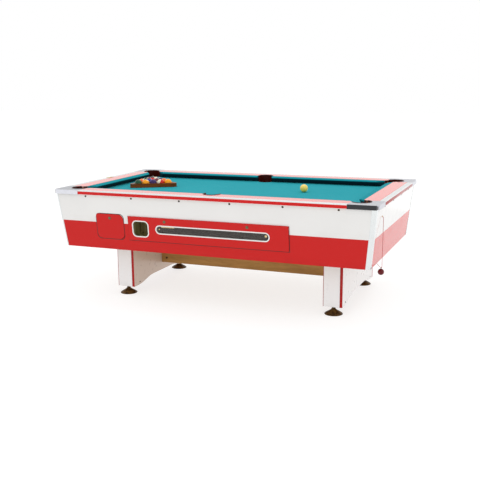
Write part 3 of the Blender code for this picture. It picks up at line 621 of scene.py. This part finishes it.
def grain(look, along, light, dark, scale):
    """Wood grain along X, Y or Z: its colour, its rings and its pores."""
    stretch = lengthwise(along, 0.07)
    rings = look.noise(scale, 6, 0.62, stretch=stretch, distortion=0.6)
    pores = look.noise(scale * 9, 3, 0.6, stretch=stretch)
    wood = look.mix(look.spread(rings, 0.35, 0.65), dark, light)
    fine = look.spread(pores, 0.50, 0.72, 0.0, 0.45)
    return look.mix(fine, wood, toned(dark, 0.6)), rings, pores


@kept
def fibreboard(look):
    """Golden-brown hardboard, a little darker in patches."""
    look.base(linear(176, 132, 76), 0.62, Specular_IOR_Level=0.2)
    colour, _, pores = grain(look, "x", linear(184, 140, 80), linear(154, 112, 60), 26.0)
    patches = look.spread(look.noise(4.0, 5), 0.45, 0.75, 0.0, 0.35)
    look.paint(look.mix(patches, colour, linear(128, 92, 50)))
    look.rough(look.spread(pores, 0.3, 0.7, 0.5, 0.75))
    look.grit(480.0, 4, 0.0002, 0.5, 0.7)


@kept
def raw_plywood(look, along):
    look.base(linear(200, 120, 66), 0.7)
    colour, rings, pores = grain(look, along, linear(206, 134, 80), linear(172, 96, 50), 20.0)
    look.paint(colour)
    look.rough(look.spread(rings, 0.3, 0.7, 0.6, 0.8))
    look.relief(pores, 0.0002, 0.5)


@kept
def dark_interior(look):
    """Board stained dark olive brown, inside the ball cup."""
    look.base(linear(168, 158, 104), 0.6)
    colour, _, pores = grain(look, "z", linear(180, 170, 112), linear(126, 116, 72), 30.0)
    look.paint(colour)
    look.rough(look.spread(pores, 0.3, 0.7, 0.5, 0.7))
    look.relief(pores, 0.0002, 0.5)


@kept
def trough_plastic(look):
    look.base(linear(88, 80, 72), 0.5)
    streaks = look.noise(18.0, 5, stretch=lengthwise("x", 0.2))
    look.paint(look.mix(streaks, linear(70, 63, 56), linear(98, 89, 80)))
    look.gloss(60.0, 4, 0.4, 0.65)
    look.grit(300.0, 4, 0.0002, 0.4, 0.6)


@kept
def bronze_paint(look):
    """Hammered dark bronze on the cast feet, rubbed lighter in places."""
    look.base(linear(78, 52, 22), 0.5, 0.25, Specular_IOR_Level=0.2)
    rubbed = look.spread(look.noise(48.0, 6, 0.65), 0.42, 0.70)
    look.paint(look.mix(rubbed, linear(56, 36, 14), linear(124, 92, 46)))
    look.gloss(90.0, 5, 0.32, 0.6)
    look.grit(110.0, 5, 0.0009, 0.6, 0.6)


@kept
def zinc_steel(look):
    look.base((0.60, 0.60, 0.57), 0.34, 1.0)
    look.paint(look.mix(look.noise(26.0, 5, 0.6), (0.50, 0.50, 0.46), (0.70, 0.70, 0.68)))
    look.gloss(90.0, 5, 0.26, 0.46)
    look.grit(420.0, 4, 0.0001, 0.3)


@kept
def lock_metal(look):
    """Nickel worn through to greenish brass."""
    look.base((0.14, 0.13, 0.07), 0.4, 1.0)
    worn = look.spread(look.noise(260.0, 4), 0.4, 0.65)
    look.paint(look.mix(worn, (0.09, 0.08, 0.04), (0.26, 0.25, 0.15)))
    look.gloss(320.0, 4, 0.28, 0.5)
    look.grit(700.0, 3, 0.0001, 0.4)


@kept
def dark_screw(look):
    look.base(linear(58, 44, 28), 0.45, 0.6, Specular_IOR_Level=0.3)
    look.shades(500.0, 3, linear(38, 28, 16), linear(80, 64, 40))
    look.gloss(900.0, 3, 0.3, 0.5)
    look.grit(1200.0, 3, 0.0001, 0.4)


@kept
def white_plastic(look):
    look.base(linear(236, 238, 236), 0.3, Coat_Weight=0.2, Coat_Roughness=0.15)
    look.shades(40.0, 5, linear(228, 231, 228), linear(242, 243, 241))
    look.gloss(120.0, 4, 0.24, 0.42)
    look.grit(500.0, 3, 0.00005, 0.4)


@kept
def window_plastic(look):
    """Smoked acrylic, lightly scratched."""
    look.base((0.42, 0.37, 0.32), 0.05, Transmission_Weight=0.96, IOR=1.45)
    scratches = look.noise(60.0, 6, 0.7, stretch=lengthwise("x", 0.06))
    look.rough(look.spread(scratches, 0.45, 0.8, 0.03, 0.22))
    look.relief(scratches, 0.00005, 0.3)


@kept
def brass(look):
    look.base((0.76, 0.58, 0.28), 0.28, 1.0)
    look.shades(300.0, 4, (0.62, 0.44, 0.18), (0.84, 0.68, 0.38))
    look.gloss(400.0, 3, 0.22, 0.4)
    look.grit(900.0, 3, 0.00008, 0.4)


@kept
def rack_wood(look, turn):
    """Stained wood with its grain at an angle to X, in degrees."""
    look.base(linear(112, 56, 12), 0.4, Specular_IOR_Level=0.2)
    look.place = look.node("ShaderNodeMapping", Vector=look.place,
                           Rotation=(0, 0, -math.radians(turn))).outputs["Vector"]
    colour, rings, pores = grain(look, "x", linear(134, 68, 12), linear(82, 38, 5), 55.0)
    look.paint(colour)
    look.rough(look.spread(rings, 0.3, 0.7, 0.28, 0.44))
    look.relief(pores, 0.0003, 0.6)


@kept
def bob_lacquer(look):
    look.base(linear(112, 16, 24), 0.34, Specular_IOR_Level=0.3)
    colour, rings, pores = grain(look, "z", linear(118, 20, 28), linear(84, 8, 16), 60.0)
    look.paint(colour)
    look.rough(look.spread(rings, 0.3, 0.7, 0.24, 0.4))
    look.relief(pores, 0.0002, 0.4)


@kept
def cord_cotton(look):
    """Red twisted cotton: the strands show as slanting ridges, with painted shade in the grooves between
    them.
    """
    look.base(linear(190, 42, 40), 0.9, Sheen_Weight=0.3)
    ridges = look.node("ShaderNodeTexWave", {"wave_type": "BANDS", "bands_direction": "DIAGONAL"},
                       Vector=look.place, Scale=170.0, Distortion=0.5, Detail=1.0).outputs["Fac"]
    look.paint(look.mix(ridges, linear(150, 26, 26), linear(206, 62, 56)))
    look.relief(ridges, 0.0005, 0.8)
    look.grit(2000.0, 3, 0.0002, 0.5)


@kept
def ball_resin(look, number):
    """Polished resin. A striped ball is ivory with a coloured band; all have two round ivory spots."""
    ivory = linear(240, 232, 206)
    colour = BALL_COLOURS[(number - 1) % SOLID_BALLS]
    look.base(colour, 0.08, Specular_IOR_Level=0.3)
    radius = BALL / 2
    body = look.mix(look.noise(60.0, 3), toned(colour, 0.94), colour)
    if number > SOLID_BALLS:
        band = look.maths("LESS_THAN", look.maths("ABSOLUTE", look.axis(2)), radius * 0.62)
        body = look.mix(band, ivory, body)
    spot = look.maths("GREATER_THAN", look.maths("ABSOLUTE", look.axis(0)), radius * 0.93)
    look.paint(look.mix(spot, body, ivory))
    look.gloss(90.0, 4, 0.05, 0.16, (0.4, 0.8))


@kept
def cue_resin(look):
    look.base(linear(250, 214, 88), 0.08, Coat_Weight=0.3, Coat_Roughness=0.04)
    look.shades(70.0, 4, linear(248, 208, 78), linear(252, 222, 104))
    look.gloss(90.0, 4, 0.05, 0.18, (0.4, 0.8))


@kept
def pearl(look):
    look.base(linear(206, 176, 170), 0.2, Coat_Weight=0.5, Coat_Roughness=0.05)
    look.shades(260.0, 4, linear(176, 150, 146), linear(226, 204, 198))
    look.gloss(300.0, 3, 0.14, 0.3)


@kept
def digit_ink(look):
    look.base(linear(22, 20, 22), 0.3)
    look.shades(400.0, 3, linear(16, 14, 16), linear(34, 32, 34))


@kept
def label_card(look):
    look.base(linear(212, 190, 136), 0.5)
    spots = look.spread(look.noise(160.0, 4), 0.4, 0.65)
    look.paint(look.mix(spots, linear(190, 160, 96), linear(226, 210, 166)))
    look.gloss(200.0, 3, 0.4, 0.6)


# Near-black, used as painted shade: the shadow strips round the door and panel, and the keyholes.
@kept
def dark_rubber(look):
    look.base(linear(34, 30, 28), 0.7)
    look.shades(90.0, 5, linear(26, 22, 20), linear(50, 45, 42))
    look.gloss(140.0, 4, 0.6, 0.8)
    look.grit(500.0, 4, 0.0002, 0.5)


# ---- chalk cord and bob

def smooth_route(points, step):
    """Points about step apart on one smooth curve through the route's points."""
    points = [Vector(p) for p in points]
    ends = [2 * points[0] - points[1], *points, 2 * points[-1] - points[-2]]
    fine = []
    steps = 24
    for a, b, c, d in zip(ends, ends[1:], ends[2:], ends[3:]):
        for i in range(steps):
            t = i / steps
            fine.append(0.5 * (2 * b + (c - a) * t + (2 * a - 5 * b + 4 * c - d) * t**2
                               + (3 * b - a - 3 * c + d) * t**3))
    fine.append(points[-1])
    line = [fine[0]]
    for point in fine[1:-1]:
        if (point - line[-1]).length >= step:
            line.append(point)
    line.append(fine[-1])
    return line


def twisted_tube(line, radius, lobes, pitch, sides=12):
    """A tube with strands that wind round it: its section's lobes turn once in each pitch."""
    bm = bmesh.new()
    across = Vector((0, 1, 0))
    gone = 0.0
    rings = []
    for i, point in enumerate(line):
        ahead = (line[min(i + 1, len(line) - 1)] - line[max(i - 1, 0)]).normalized()
        across = (across - across.dot(ahead) * ahead).normalized()
        other = ahead.cross(across)
        if i:
            gone += (point - line[i - 1]).length
        ring = []
        for j in range(sides):
            angle = 2 * math.pi * j / sides
            swell = abs(math.cos(lobes / 2 * (angle - 2 * math.pi * gone / pitch)))
            reach = radius * (0.80 + 0.20 * swell)
            ring.append(bm.verts.new(point + reach * (math.cos(angle) * across + math.sin(angle) * other)))
        rings.append(ring)
    for a, b in zip(rings, rings[1:]):
        for j in range(sides):
            k = (j + 1) % sides
            bm.faces.new((a[j], a[k], b[k], b[j]))
    bm.faces.new(reversed(rings[0]))
    bm.faces.new(rings[-1])
    return bm


def make_bob():
    """A lacquered ball with turned grooves, and the wire eye that the cord runs through."""
    low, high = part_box("chalk_bob")
    radius = (high.x - low.x) / 2
    middle = Vector(((low.x + high.x) / 2, (low.y + high.y) / 2, low.z + radius))
    steps = 32
    profile = [(0, -radius)]
    for i in range(1, steps):
        angle = math.pi * (i / steps - 0.5)
        reach = radius - (0.0007 if i in GROOVED_STEPS else 0.0)
        profile.append((reach * math.cos(angle), reach * math.sin(angle)))
    profile.append((0, radius))
    ball = turned(profile, steps, shift(middle))
    bob = piece("chalk_bob_ball", ball, "bob_wood", bob_lacquer(), sharp=50)
    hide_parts("chalk_bob")
    along = (Vector(CORD_ROUTE[-1]) - Vector(max(CORD_ROUTE))).xy.to_3d()
    axis = shift(BOB_EYE) @ along.to_track_quat("Z", "Y").to_matrix().to_4x4()
    wire = 0.0011
    ring = turned(arc((0.0048, 0), wire, 0, 324, 9), 28, axis)
    top = shift(middle + Vector((0, 0, radius)))
    shank = turned([(0, -0.0015), (wire, -0.0015), (wire, 0.0027), (0, 0.0027)], 12, top)
    collar = turned([(0, -0.0004), (0.0030, -0.0004), (0.0030, 0.0004), (0.0020, 0.0012), (0, 0.0012)],
                    16, top)
    return bob, piece("chalk_bob_eye", joined(ring, shank, collar), "steel", zinc_steel())


def make_cord():
    line = smooth_route(CORD_ROUTE, 0.5 * CORD_DIAMETER)
    strands = twisted_tube(line, CORD_DIAMETER / 2, 3, 0.010)
    cord = piece("chalk_cord_strands", strands, "cord_cotton", cord_cotton(), sharp=80)
    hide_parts("chalk_cord")
    make_bob()
    floor_hole = (*CORD_ROUTE[-1][:2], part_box("cabinet_floor")[0].z)
    profile = [(0.0019, -0.0010), (0.0034, -0.0010), (0.0034, 0.0002), (0.0062, 0.0002), (0.0066, 0.0007),
               (0.0058, 0.0014), (0.0034, 0.0016), (0.0019, 0.0008)]
    for name, hole, angle, about in (("side", SIDE_HOLE, math.pi / 2 + TILT, "Y"),
                                     ("floor", floor_hole, math.pi, "X")):
        place = shift(hole) @ Matrix.Rotation(angle, 4, about)
        piece("cord_eyelet_" + name, turned(profile, 24, place), "lock_brass", brass())


# ---- cabinet

def make_cabinet():
    for side in SIDES:
        outward = turn_to(side).to_3x3() @ Vector((0, -1, 0))
        # The right apron takes the paler red band: painted reflection.
        laminate = two_colour_laminate("faded" if side == "right" else "fresh")
        finished("apron_" + side, 0.0010, "red_laminate" if side == "front" else "white_laminate", laminate,
                 raw_plywood("z"), pick=lambda face: 0 if face.normal.dot(outward) > 0.9 else 1)
    finished("cabinet_floor", 0.0010, "raw_board", fibreboard())
    for column, sx in (("left", -1), ("right", 1)):
        for row, sy in (("front", -1), ("rear", 1)):
            make_corner_strip(row + "_" + column, sx, sy)


def make_corner_strip(name, sx, sy):
    """An aluminium angle down a leaning corner of the cabinet."""
    across = 0.030 if sx > 0 else 0.010
    along = 0.038
    skin = 0.0012
    gap = 0.0002
    outline = [(across, -skin), (across, -gap), (-gap, -gap), (-gap, along), (-skin, along)]
    bend = 0.0024
    outline += arc((bend - skin, bend - skin), bend, 180, 270, 5)
    bm = bmesh.new()
    rings = []
    for z in (CABINET_BOTTOM + 0.0008, CABINET_TOP - 0.0006):
        x = RAIL_X - front_inset(z)
        y = RAIL_Y - front_inset(z)
        rings.append([bm.verts.new((sx * (x - a), sy * (y - b), z)) for a, b in outline])
    for i in range(len(outline)):
        j = (i + 1) % len(outline)
        bm.faces.new((rings[0][i], rings[0][j], rings[1][j], rings[1][i]))
    bm.faces.new(rings[0])
    bm.faces.new(rings[1])
    piece("corner_strip_" + name, bm, "aluminium", drawn_aluminium("z"))


def screw(name, place, radius, material=None):
    """A domed screw with a round socket, along the place's Z axis, from shares of its radius."""
    outer = [(0, 0.10), (0.34, 0.10), (0.40, 0.30), (0.72, 0.27), (0.95, 0.10), (1.0, -0.04), (0, -0.04)]
    head = turned([(radius * r, radius * h) for r, h in outer], 18, place)
    piece(name, head, "steel", material or dark_screw(), sharp=30)


def make_cabinet_screws():
    for side in SIDES:
        long_side = side in ("front", "rear")
        count, apart = (6, 0.37) if long_side else (4, 0.28)
        depth = RAIL_Y if long_side else RAIL_X
        for i in range(count):
            along = apart * (i - (count - 1) / 2)
            face = shift((along, -(depth - front_inset(BOLT_HEIGHT)), BOLT_HEIGHT))
            lean = Matrix.Rotation(math.pi / 2 + TILT, 4, "X")
            screw("rail_bolt_%s_%d" % (side, i + 1), turn_to(side) @ face @ lean, 0.0072)


# ---- rail frame

def rail_surface(face):
    """Laminate on top, liner plastic on the cheeks of the pockets, and raw timber elsewhere."""
    if face.normal.z > 0.9:
        return 0
    centre = face.calc_center_median()
    for name in POCKETS:
        low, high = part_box("pocket_liner_" + name)
        if (centre.xy - ((low + high) / 2).xy).length < POCKET_REACH and abs(face.normal.z) < 0.1:
            return 2
    return 1


def make_rails():
    for side in SIDES:
        along = "x" if side in ("front", "rear") else "y"
        finished("rail_" + side, 0.0012, "rail_laminate", rail_laminate(), raw_plywood(along),
                 liner_plastic(), pick=rail_surface)
        finished("rail_trim_" + side, 0.0006, "aluminium", drawn_aluminium(along))
        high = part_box("rail_trim_" + side)[1]
        half = (high.x if along == "x" else high.y) - 0.0004
        depth = RAIL_Y if along == "x" else RAIL_X
        bar = bevelled_box((-half, half), (-depth - 0.0006, -depth + 0.0012), TRIM_BAND, 0.0005)
        # The right end's insert gets a darker, greyer red than the others: painted shade.
        piece("trim_insert_" + side, moved(bar, turn_to(side)), "red_laminate",
              strip_red(170, 72) if side == "right" else strip_red(204))
    for corner in CORNERS:
        sx = -1 if "left" in corner else 1
        sy = -1 if "front" in corner else 1
        # Painted light and shade: each casting's top and outward skirt get their own brightness, the front
        # right skirt almost black and the front left top darker.
        skirt_light_level = 6 if corner == "front_right" else 82
        top = 48 if corner == "front_left" else 60
        finished("corner_casting_" + corner, 0.0032, "aluminium", cast_aluminium(top), cast_aluminium(skirt_light_level),
                 segments=4, angle=40, pick=lambda face: int(face.normal.y * sy > 0.8))
        for i, (x, y) in enumerate(((0.030, 0.150), (0.150, 0.030), (0.032, 0.032))):
            place = shift((sx * (RAIL_X - x), sy * (RAIL_Y - y), RAIL_TOP))
            screw("casting_screw_%s_%d" % (corner, i + 1), place, 0.0050, zinc_steel())
    for name in POCKETS:
        finished("pocket_liner_" + name, 0.0010, "liner_plastic", liner_plastic(), segments=3, angle=45)
    make_sights()
    make_rail_plate()


def make_rail_plate():
    """A small cover plate on the left end's trim, held by two screws."""
    plate = bevelled_box((-1.170, -1.140), (0.012, 0.082), (RAIL_TOP + 0.0001, RAIL_TOP + 0.0016), 0.0006)
    piece("rail_plate", plate, "aluminium", label_card())
    for i, y in enumerate((0.022, 0.072)):
        screw("rail_plate_screw_%d" % (i + 1), shift((-1.155, y, RAIL_TOP + 0.0016)), 0.0034)


def make_sights():
    """Round pearl sights let into the rail tops, each in a thin metal ring."""
    row_y, row_x = 0.612, 1.066
    places = [(x, sy * row_y) for sy in (-1, 1) for x in (-0.743, -0.495, -0.248, 0.248, 0.495, 0.743)]
    places += [(sx * row_x, y) for sx in (-1, 1) for y in (-0.248, 0.0, 0.248)]
    for i, (x, y) in enumerate(places):
        at = shift((x, y, RAIL_TOP))
        domed = [(0, 0.0005), (0.0030, 0.0004), (0.0042, 0.0001), (0.0042, -0.0005), (0, -0.0005)]
        piece("sight_%02d" % (i + 1), turned(domed, 24, at), "rail_laminate", pearl())
        ring = turned([(0.0043, -0.0005), (0.0053, -0.0005), (0.0053, 0.0003), (0.0043, 0.0004)], 24, at)
        piece("sight_ring_%02d" % (i + 1), ring, "lock_brass", brass())


# ---- cloth

def make_cloth():
    cloth = finished("bed_cloth", 0.0002, "cloth", bed_baize(), segments=1)
    finished("slate_bed", 0.0010, "slate_stone", slate_stone())
    for name in ("front_left", "front_right", "rear_left", "rear_right", "left_end", "right_end"):
        cushion = finished("cushion_" + name, 0.0030, "cloth", cushion_baize(), segments=4, angle=14,
                           sharp=70)


# ---- ball return and coin side

def make_seals():
    """Painted shadow: dark strips in the gap round the coin door, and along the left, right and lower edges
    of the proud service panel.
    """
    low, high = 0.0002, 0.0006
    section = [(0.0003, -0.0040), (0.0003, high), (0.0043, high), (0.0043, low), (0.0016, low),
               (0.0016, -0.0040)]
    gap_shadow = moulding(section, *COIN_DOOR_SIZE, 8, front_frame(*COIN_DOOR))
    piece("coin_door_gap_shadow", gap_shadow, "red_laminate", dark_rubber())
    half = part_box("service_panel")[1].x
    bars = []
    for x, z, wide, tall in ((-half - 0.0022, 0.5415, 0.0036, 0.174), (half + 0.0022, 0.5415, 0.0036, 0.174),
                             (0, 0.4530, 2 * half + 0.008, 0.0044)):
        bar = bevelled_box((-wide / 2, wide / 2), (-tall / 2, tall / 2), (0.0001, 0.0004), 0.0001, 1)
        bars.append(moved(bar, front_frame(x, z)))
    piece("service_panel_shadow", joined(*bars), "red_laminate", dark_rubber())


def make_front_doors():
    make_seals()
    finished("coin_door", 0.0014, "red_laminate", red_laminate(), raw_plywood("z"), segments=3,
             pick=lambda face: 1 if face.normal.y > 0.9 else 0)
    finished("service_panel", 0.0009, "red_laminate", red_laminate())
    finished("window_lens", 0.0004, "clear_plastic", window_plastic())
    for node, at in LOCKS.items():
        finished(node, 0.0005, "lock_brass", lock_metal())
        # Each keyhole is a dark bar on the lock's face: painted shade for the slot.
        way = bevelled_box((-0.0007, 0.0007), (-0.0034, 0.0034), (-0.0002, 0.0002), 0.0001, 1)
        piece(node + "_keyway", moved(way, front_frame(*at)), "lock_brass", dark_rubber(),
              body=NODES[node]["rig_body"])


def panel_piece(name, bm, slot, material):
    piece(name, bm, slot, material, body="service_panel")


def make_window_fittings():
    """White moulded frames pressed into the panel's windows, a blank label and two brass studs."""
    section = [(-0.0012, -0.0058), (-0.0012, 0.0012), (0.0000, 0.0026), (0.0046, 0.0026), (0.0062, 0.0014),
               (0.0066, 0.0002), (-0.0003, 0.0002), (-0.0003, -0.0058)]
    for name, x, z, size in (("cup", -0.497, 0.541, (0.118, 0.108, 0.028)),
                             ("long", 0.0415, 0.544, (0.829, 0.052, 0.026))):
        bezel = moulding(section, *size, 10, front_frame(x, z, PANEL_FACE))
        panel_piece("window_bezel_" + name, bezel, "white_laminate", white_plastic())
    label = bevelled_box((-0.050, 0.050), (-0.0045, 0.0045), (0, 0.0005), 0.0002, 1)
    moved(label, front_frame(-0.285, 0.5640, 0.0001))
    panel_piece("window_label", label, "white_laminate", label_card())
    for name, x, z, radius in (("right", 0.434, 0.549, 0.0085), ("left", -0.352, 0.546, 0.0055)):
        knob = turned([(0, 0), (radius, 0), (radius, 0.001), (0.8 * radius, 0.0026), (0.45 * radius, 0.0034),
                       (0, 0.0036)], 24, front_frame(x, z, 0.0001))
        panel_piece("lens_stud_" + name, knob, "lock_brass", brass())


def make_ball_return():
    finished("ball_deck", 0.0010, "raw_board", raw_plywood("x"))
    finished("ball_trough", 0.0010, "trough_plastic", trough_plastic())
    finished("ball_cup", 0.0012, "raw_board", dark_interior())
    finished("ball_gate", 0.0004, "steel", zinc_steel())
    finished("release_rod", 0.0004, "steel", zinc_steel())
    finished("coin_mechanism", 0.0016, "steel", zinc_steel(), segments=3)
    finished("cash_box", 0.0008, "steel", zinc_steel())


# ---- legs

def make_legs():
    for side in ("left", "right"):
        low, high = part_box("leg_%s_side_panels" % side)
        middle = (low.x + high.x) / 2
        end = max(-low.y, high.y)
        half = (high.x - low.x) / 2

        def surface(face):
            centre = face.calc_center_median()
            if abs(face.normal.x) > 0.9 and abs(centre.x - middle) > half - 0.001:
                # The left leg's inner face takes the browner laminate: painted shade and bounce light.
                return 3 if side == "left" and face.normal.x > 0 else 0
            if abs(face.normal.y) > 0.9 and abs(centre.y) > end - 0.001:
                return 1
            return 2

        finished("leg_%s_side_panels" % side, 0.0012, "white_laminate", leg_laminate("clean"),
                 strip_red(168), raw_plywood("z"), leg_laminate("dusty"), pick=surface)
        for row in ("front", "rear"):
            node = "leg_%s_%s_board" % (side, row)
            finished(node, 0.0012, "white_laminate", leg_laminate("clean"), strip_red(168),
                     raw_plywood("z"), pick=board_surface)
            low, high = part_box(node)
            face = low.y if row == "front" else high.y
            for edge, span in (("left", (low.x, low.x + EDGING)), ("right", (high.x - EDGING, high.x))):
                band = bevelled_box(span, (face - 0.0004, face + 0.0004), (low.z + 0.001, high.z - 0.001),
                                    0.0003, 1)
                piece("%s_edge_%s" % (node, edge), band, "red_laminate", strip_red(150))
    finished("stretcher_beam", 0.0020, "raw_board", fibreboard(), segments=3)
    make_leg_screws()
    for corner in CORNERS:
        make_foot(corner)


def board_surface(face):
    if abs(face.normal.y) > 0.9:
        return 0
    return 1 if abs(face.normal.x) > 0.9 else 2


def make_leg_screws():
    low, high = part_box("stretcher_beam")
    upper, lower = 0.262, 0.188
    left, right = low.x + 0.045, high.x - 0.045
    places = ((left, upper), (left, lower), (0.120, 0.252), (right, upper), (right, lower))
    for i, (x, z) in enumerate(places):
        for face, y, turn in (("front", low.y, math.pi / 2), ("rear", high.y, -math.pi / 2)):
            place = shift((x, y, z)) @ Matrix.Rotation(turn, 4, "X")
            screw("stretcher_screw_%s_%d" % (face, i + 1), place, 0.0085)
    from_middle, height = 0.372, 0.076
    for side in ("left", "right"):
        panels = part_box("leg_%s_side_panels" % side)
        for row, sy in (("front", -1), ("rear", 1)):
            for face, x, turn in (("in", panels[0].x, -math.pi / 2), ("out", panels[1].x, math.pi / 2)):
                place = shift((x, sy * from_middle, height)) @ Matrix.Rotation(turn, 4, "Y")
                screw("leg_screw_%s_%s_%s" % (side, row, face), place, 0.0060)


def make_foot(corner):
    """A cast bell foot with a moulded edge, a lock nut and a threaded stem."""
    node = "leveller_" + corner
    low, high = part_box(node)
    middle = shift(((low.x + high.x) / 2, (low.y + high.y) / 2, 0))
    radius = (high.x - low.x) / 2
    bell = [(0, 0.0002), (radius - 0.0030, 0.0002), (radius - 0.0008, 0.0012), (radius, 0.0034),
            (radius - 0.0010, 0.0058), (radius - 0.0040, 0.0074), (0.0565, 0.0096), (0.0520, 0.0126),
            (0.0455, 0.0166), (0.0380, 0.0208), (0.0305, 0.0250), (0.0240, 0.0292), (0.0190, 0.0332),
            (0.0155, 0.0372), (0.0132, 0.0412), (0.0120, 0.0440), (0, 0.0440)]
    nut = [(0, 0.0441), (0.0108, 0.0441), (0.0115, 0.0448), (0.0115, 0.0497), (0.0108, 0.0504), (0, 0.0504)]
    crest, root, pitch = 0.0050, 0.0043, 0.0016
    z, top = 0.0500, 0.1250
    thread = [(0, z)]
    while z < top - 0.001:
        thread += [(crest, z), (root, z + pitch / 2)]
        z += pitch
    thread += [(root, top), (0, top)]
    parts = joined(turned(bell, 56, middle), turned(nut, 6, middle), turned(thread, 16, middle))
    foot = piece("foot_" + corner, parts, "bronze_iron", bronze_paint(), body=node, sharp=40)
    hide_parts(node)


# ---- rack and balls

def make_rack():
    """Stained beech triangle: each side has grain along its own length."""
    materials = [rack_wood(turn) for turn in (90, 30, -30)]
    low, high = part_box("racked_balls")
    middle = Vector((high.x - BALL / 2 - 4 * ROW * 2 / 3, (low.y + high.y) / 2, low.z))

    def side_of(face):
        centre = face.calc_center_median() - middle
        turn = math.degrees(math.atan2(centre.y, centre.x)) % 360
        return 0 if 120 < turn < 240 else (1 if turn >= 240 else 2)

    finished("triangle_rack", 0.0030, "rack_wood", *materials, segments=4, pick=side_of, angle=25)


SOLID_BALLS = 8
BALL_COLOURS = [linear(252, 164, 10), linear(20, 44, 140), linear(206, 30, 26), linear(52, 24, 92),
                linear(240, 112, 22), linear(0, 74, 46), linear(112, 20, 30), linear(16, 16, 18)]
# The number on each ball, row by row from the apex back
RACK_ORDER = (1, 11, 5, 4, 7, 12, 9, 2, 3, 10, 6, 13, 14, 15, 8)


def digits(number, size):
    """Flat meshed digits about the origin."""
    text = bpy.data.curves.new("digits", "FONT")
    text.body = str(number)
    text.size = size
    text.align_x = "CENTER"
    text.align_y = "CENTER"
    text.resolution_u = 3
    holder = add_object("digits", text)
    bpy.context.view_layer.update()
    mesh = bpy.data.meshes.new_from_object(holder.evaluated_get(bpy.context.evaluated_depsgraph_get()))
    bpy.data.objects.remove(holder)
    bm = bmesh.new()
    bm.from_mesh(mesh)
    bpy.data.meshes.remove(mesh)
    bmesh.ops.triangulate(bm, faces=bm.faces)
    bmesh.ops.subdivide_edges(bm, edges=bm.edges, cuts=1)
    return bm


def make_ball(name, number, centre, body, material, spin):
    """A ball with its own local axes, so that the number spots and the stripe turn with it."""
    radius = BALL / 2
    sphere = bmesh.new()
    bmesh.ops.create_icosphere(sphere, subdivisions=4, radius=radius)
    parts = [sphere]
    for sign in (1, -1) if number else ():
        ink = digits(number, 0.0095)
        for vert in ink.verts:
            u, v = vert.co.x, vert.co.y
            depth = math.sqrt((radius + 0.00004) ** 2 - u * u - v * v)
            vert.co = Vector((sign * depth, sign * u, v))
        for face in ink.faces:
            face.material_index = 1
        parts.append(ink)
    mesh = bpy.data.meshes.new(name)
    bm = joined(*parts)
    bm.to_mesh(mesh)
    bm.free()
    mesh.materials.append(material)
    if number:
        mesh.materials.append(digit_ink())
    mesh.shade_smooth()
    ball = add_object(name, mesh)
    ball.matrix_world = shift(centre) @ spin.to_matrix().to_4x4()
    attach(ball, body)
    return ball


def make_balls():
    random.seed(7)
    low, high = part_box("racked_balls")
    apex = Vector((high.x + 0.0003 - BALL / 2, (low.y + high.y) / 2, (low.z + high.z) / 2))
    numbers = iter(RACK_ORDER)
    for row in range(5):
        for i in range(row + 1):
            number = next(numbers)
            centre = apex + Vector((-row * ROW, (i - row / 2) * BALL, 0))
            forward = (Vector(CAMERA_AT) - centre).to_track_quat("Y", "Z")
            roll = Quaternion((0, 1, 0), random.uniform(-math.pi, math.pi))
            nod = Quaternion((1, 0, 0), random.uniform(-0.5, 0.5))
            make_ball("ball_%02d" % number, number, centre, "racked_balls",
                                   ball_resin(number), forward @ roll @ nod)
    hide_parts("racked_balls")
    low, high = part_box("cue_ball")
    cue = make_ball("cue_ball_resin", None, (low + high) / 2, "cue_ball", cue_resin(),
                    Quaternion())
    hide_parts("cue_ball")


def main():
    make_camera()
    make_cord()
    make_studio()
    make_cabinet()
    make_cabinet_screws()
    make_rails()
    make_cloth()
    make_front_doors()
    make_window_fittings()
    make_ball_return()
    make_legs()
    make_rack()
    make_balls()


main()
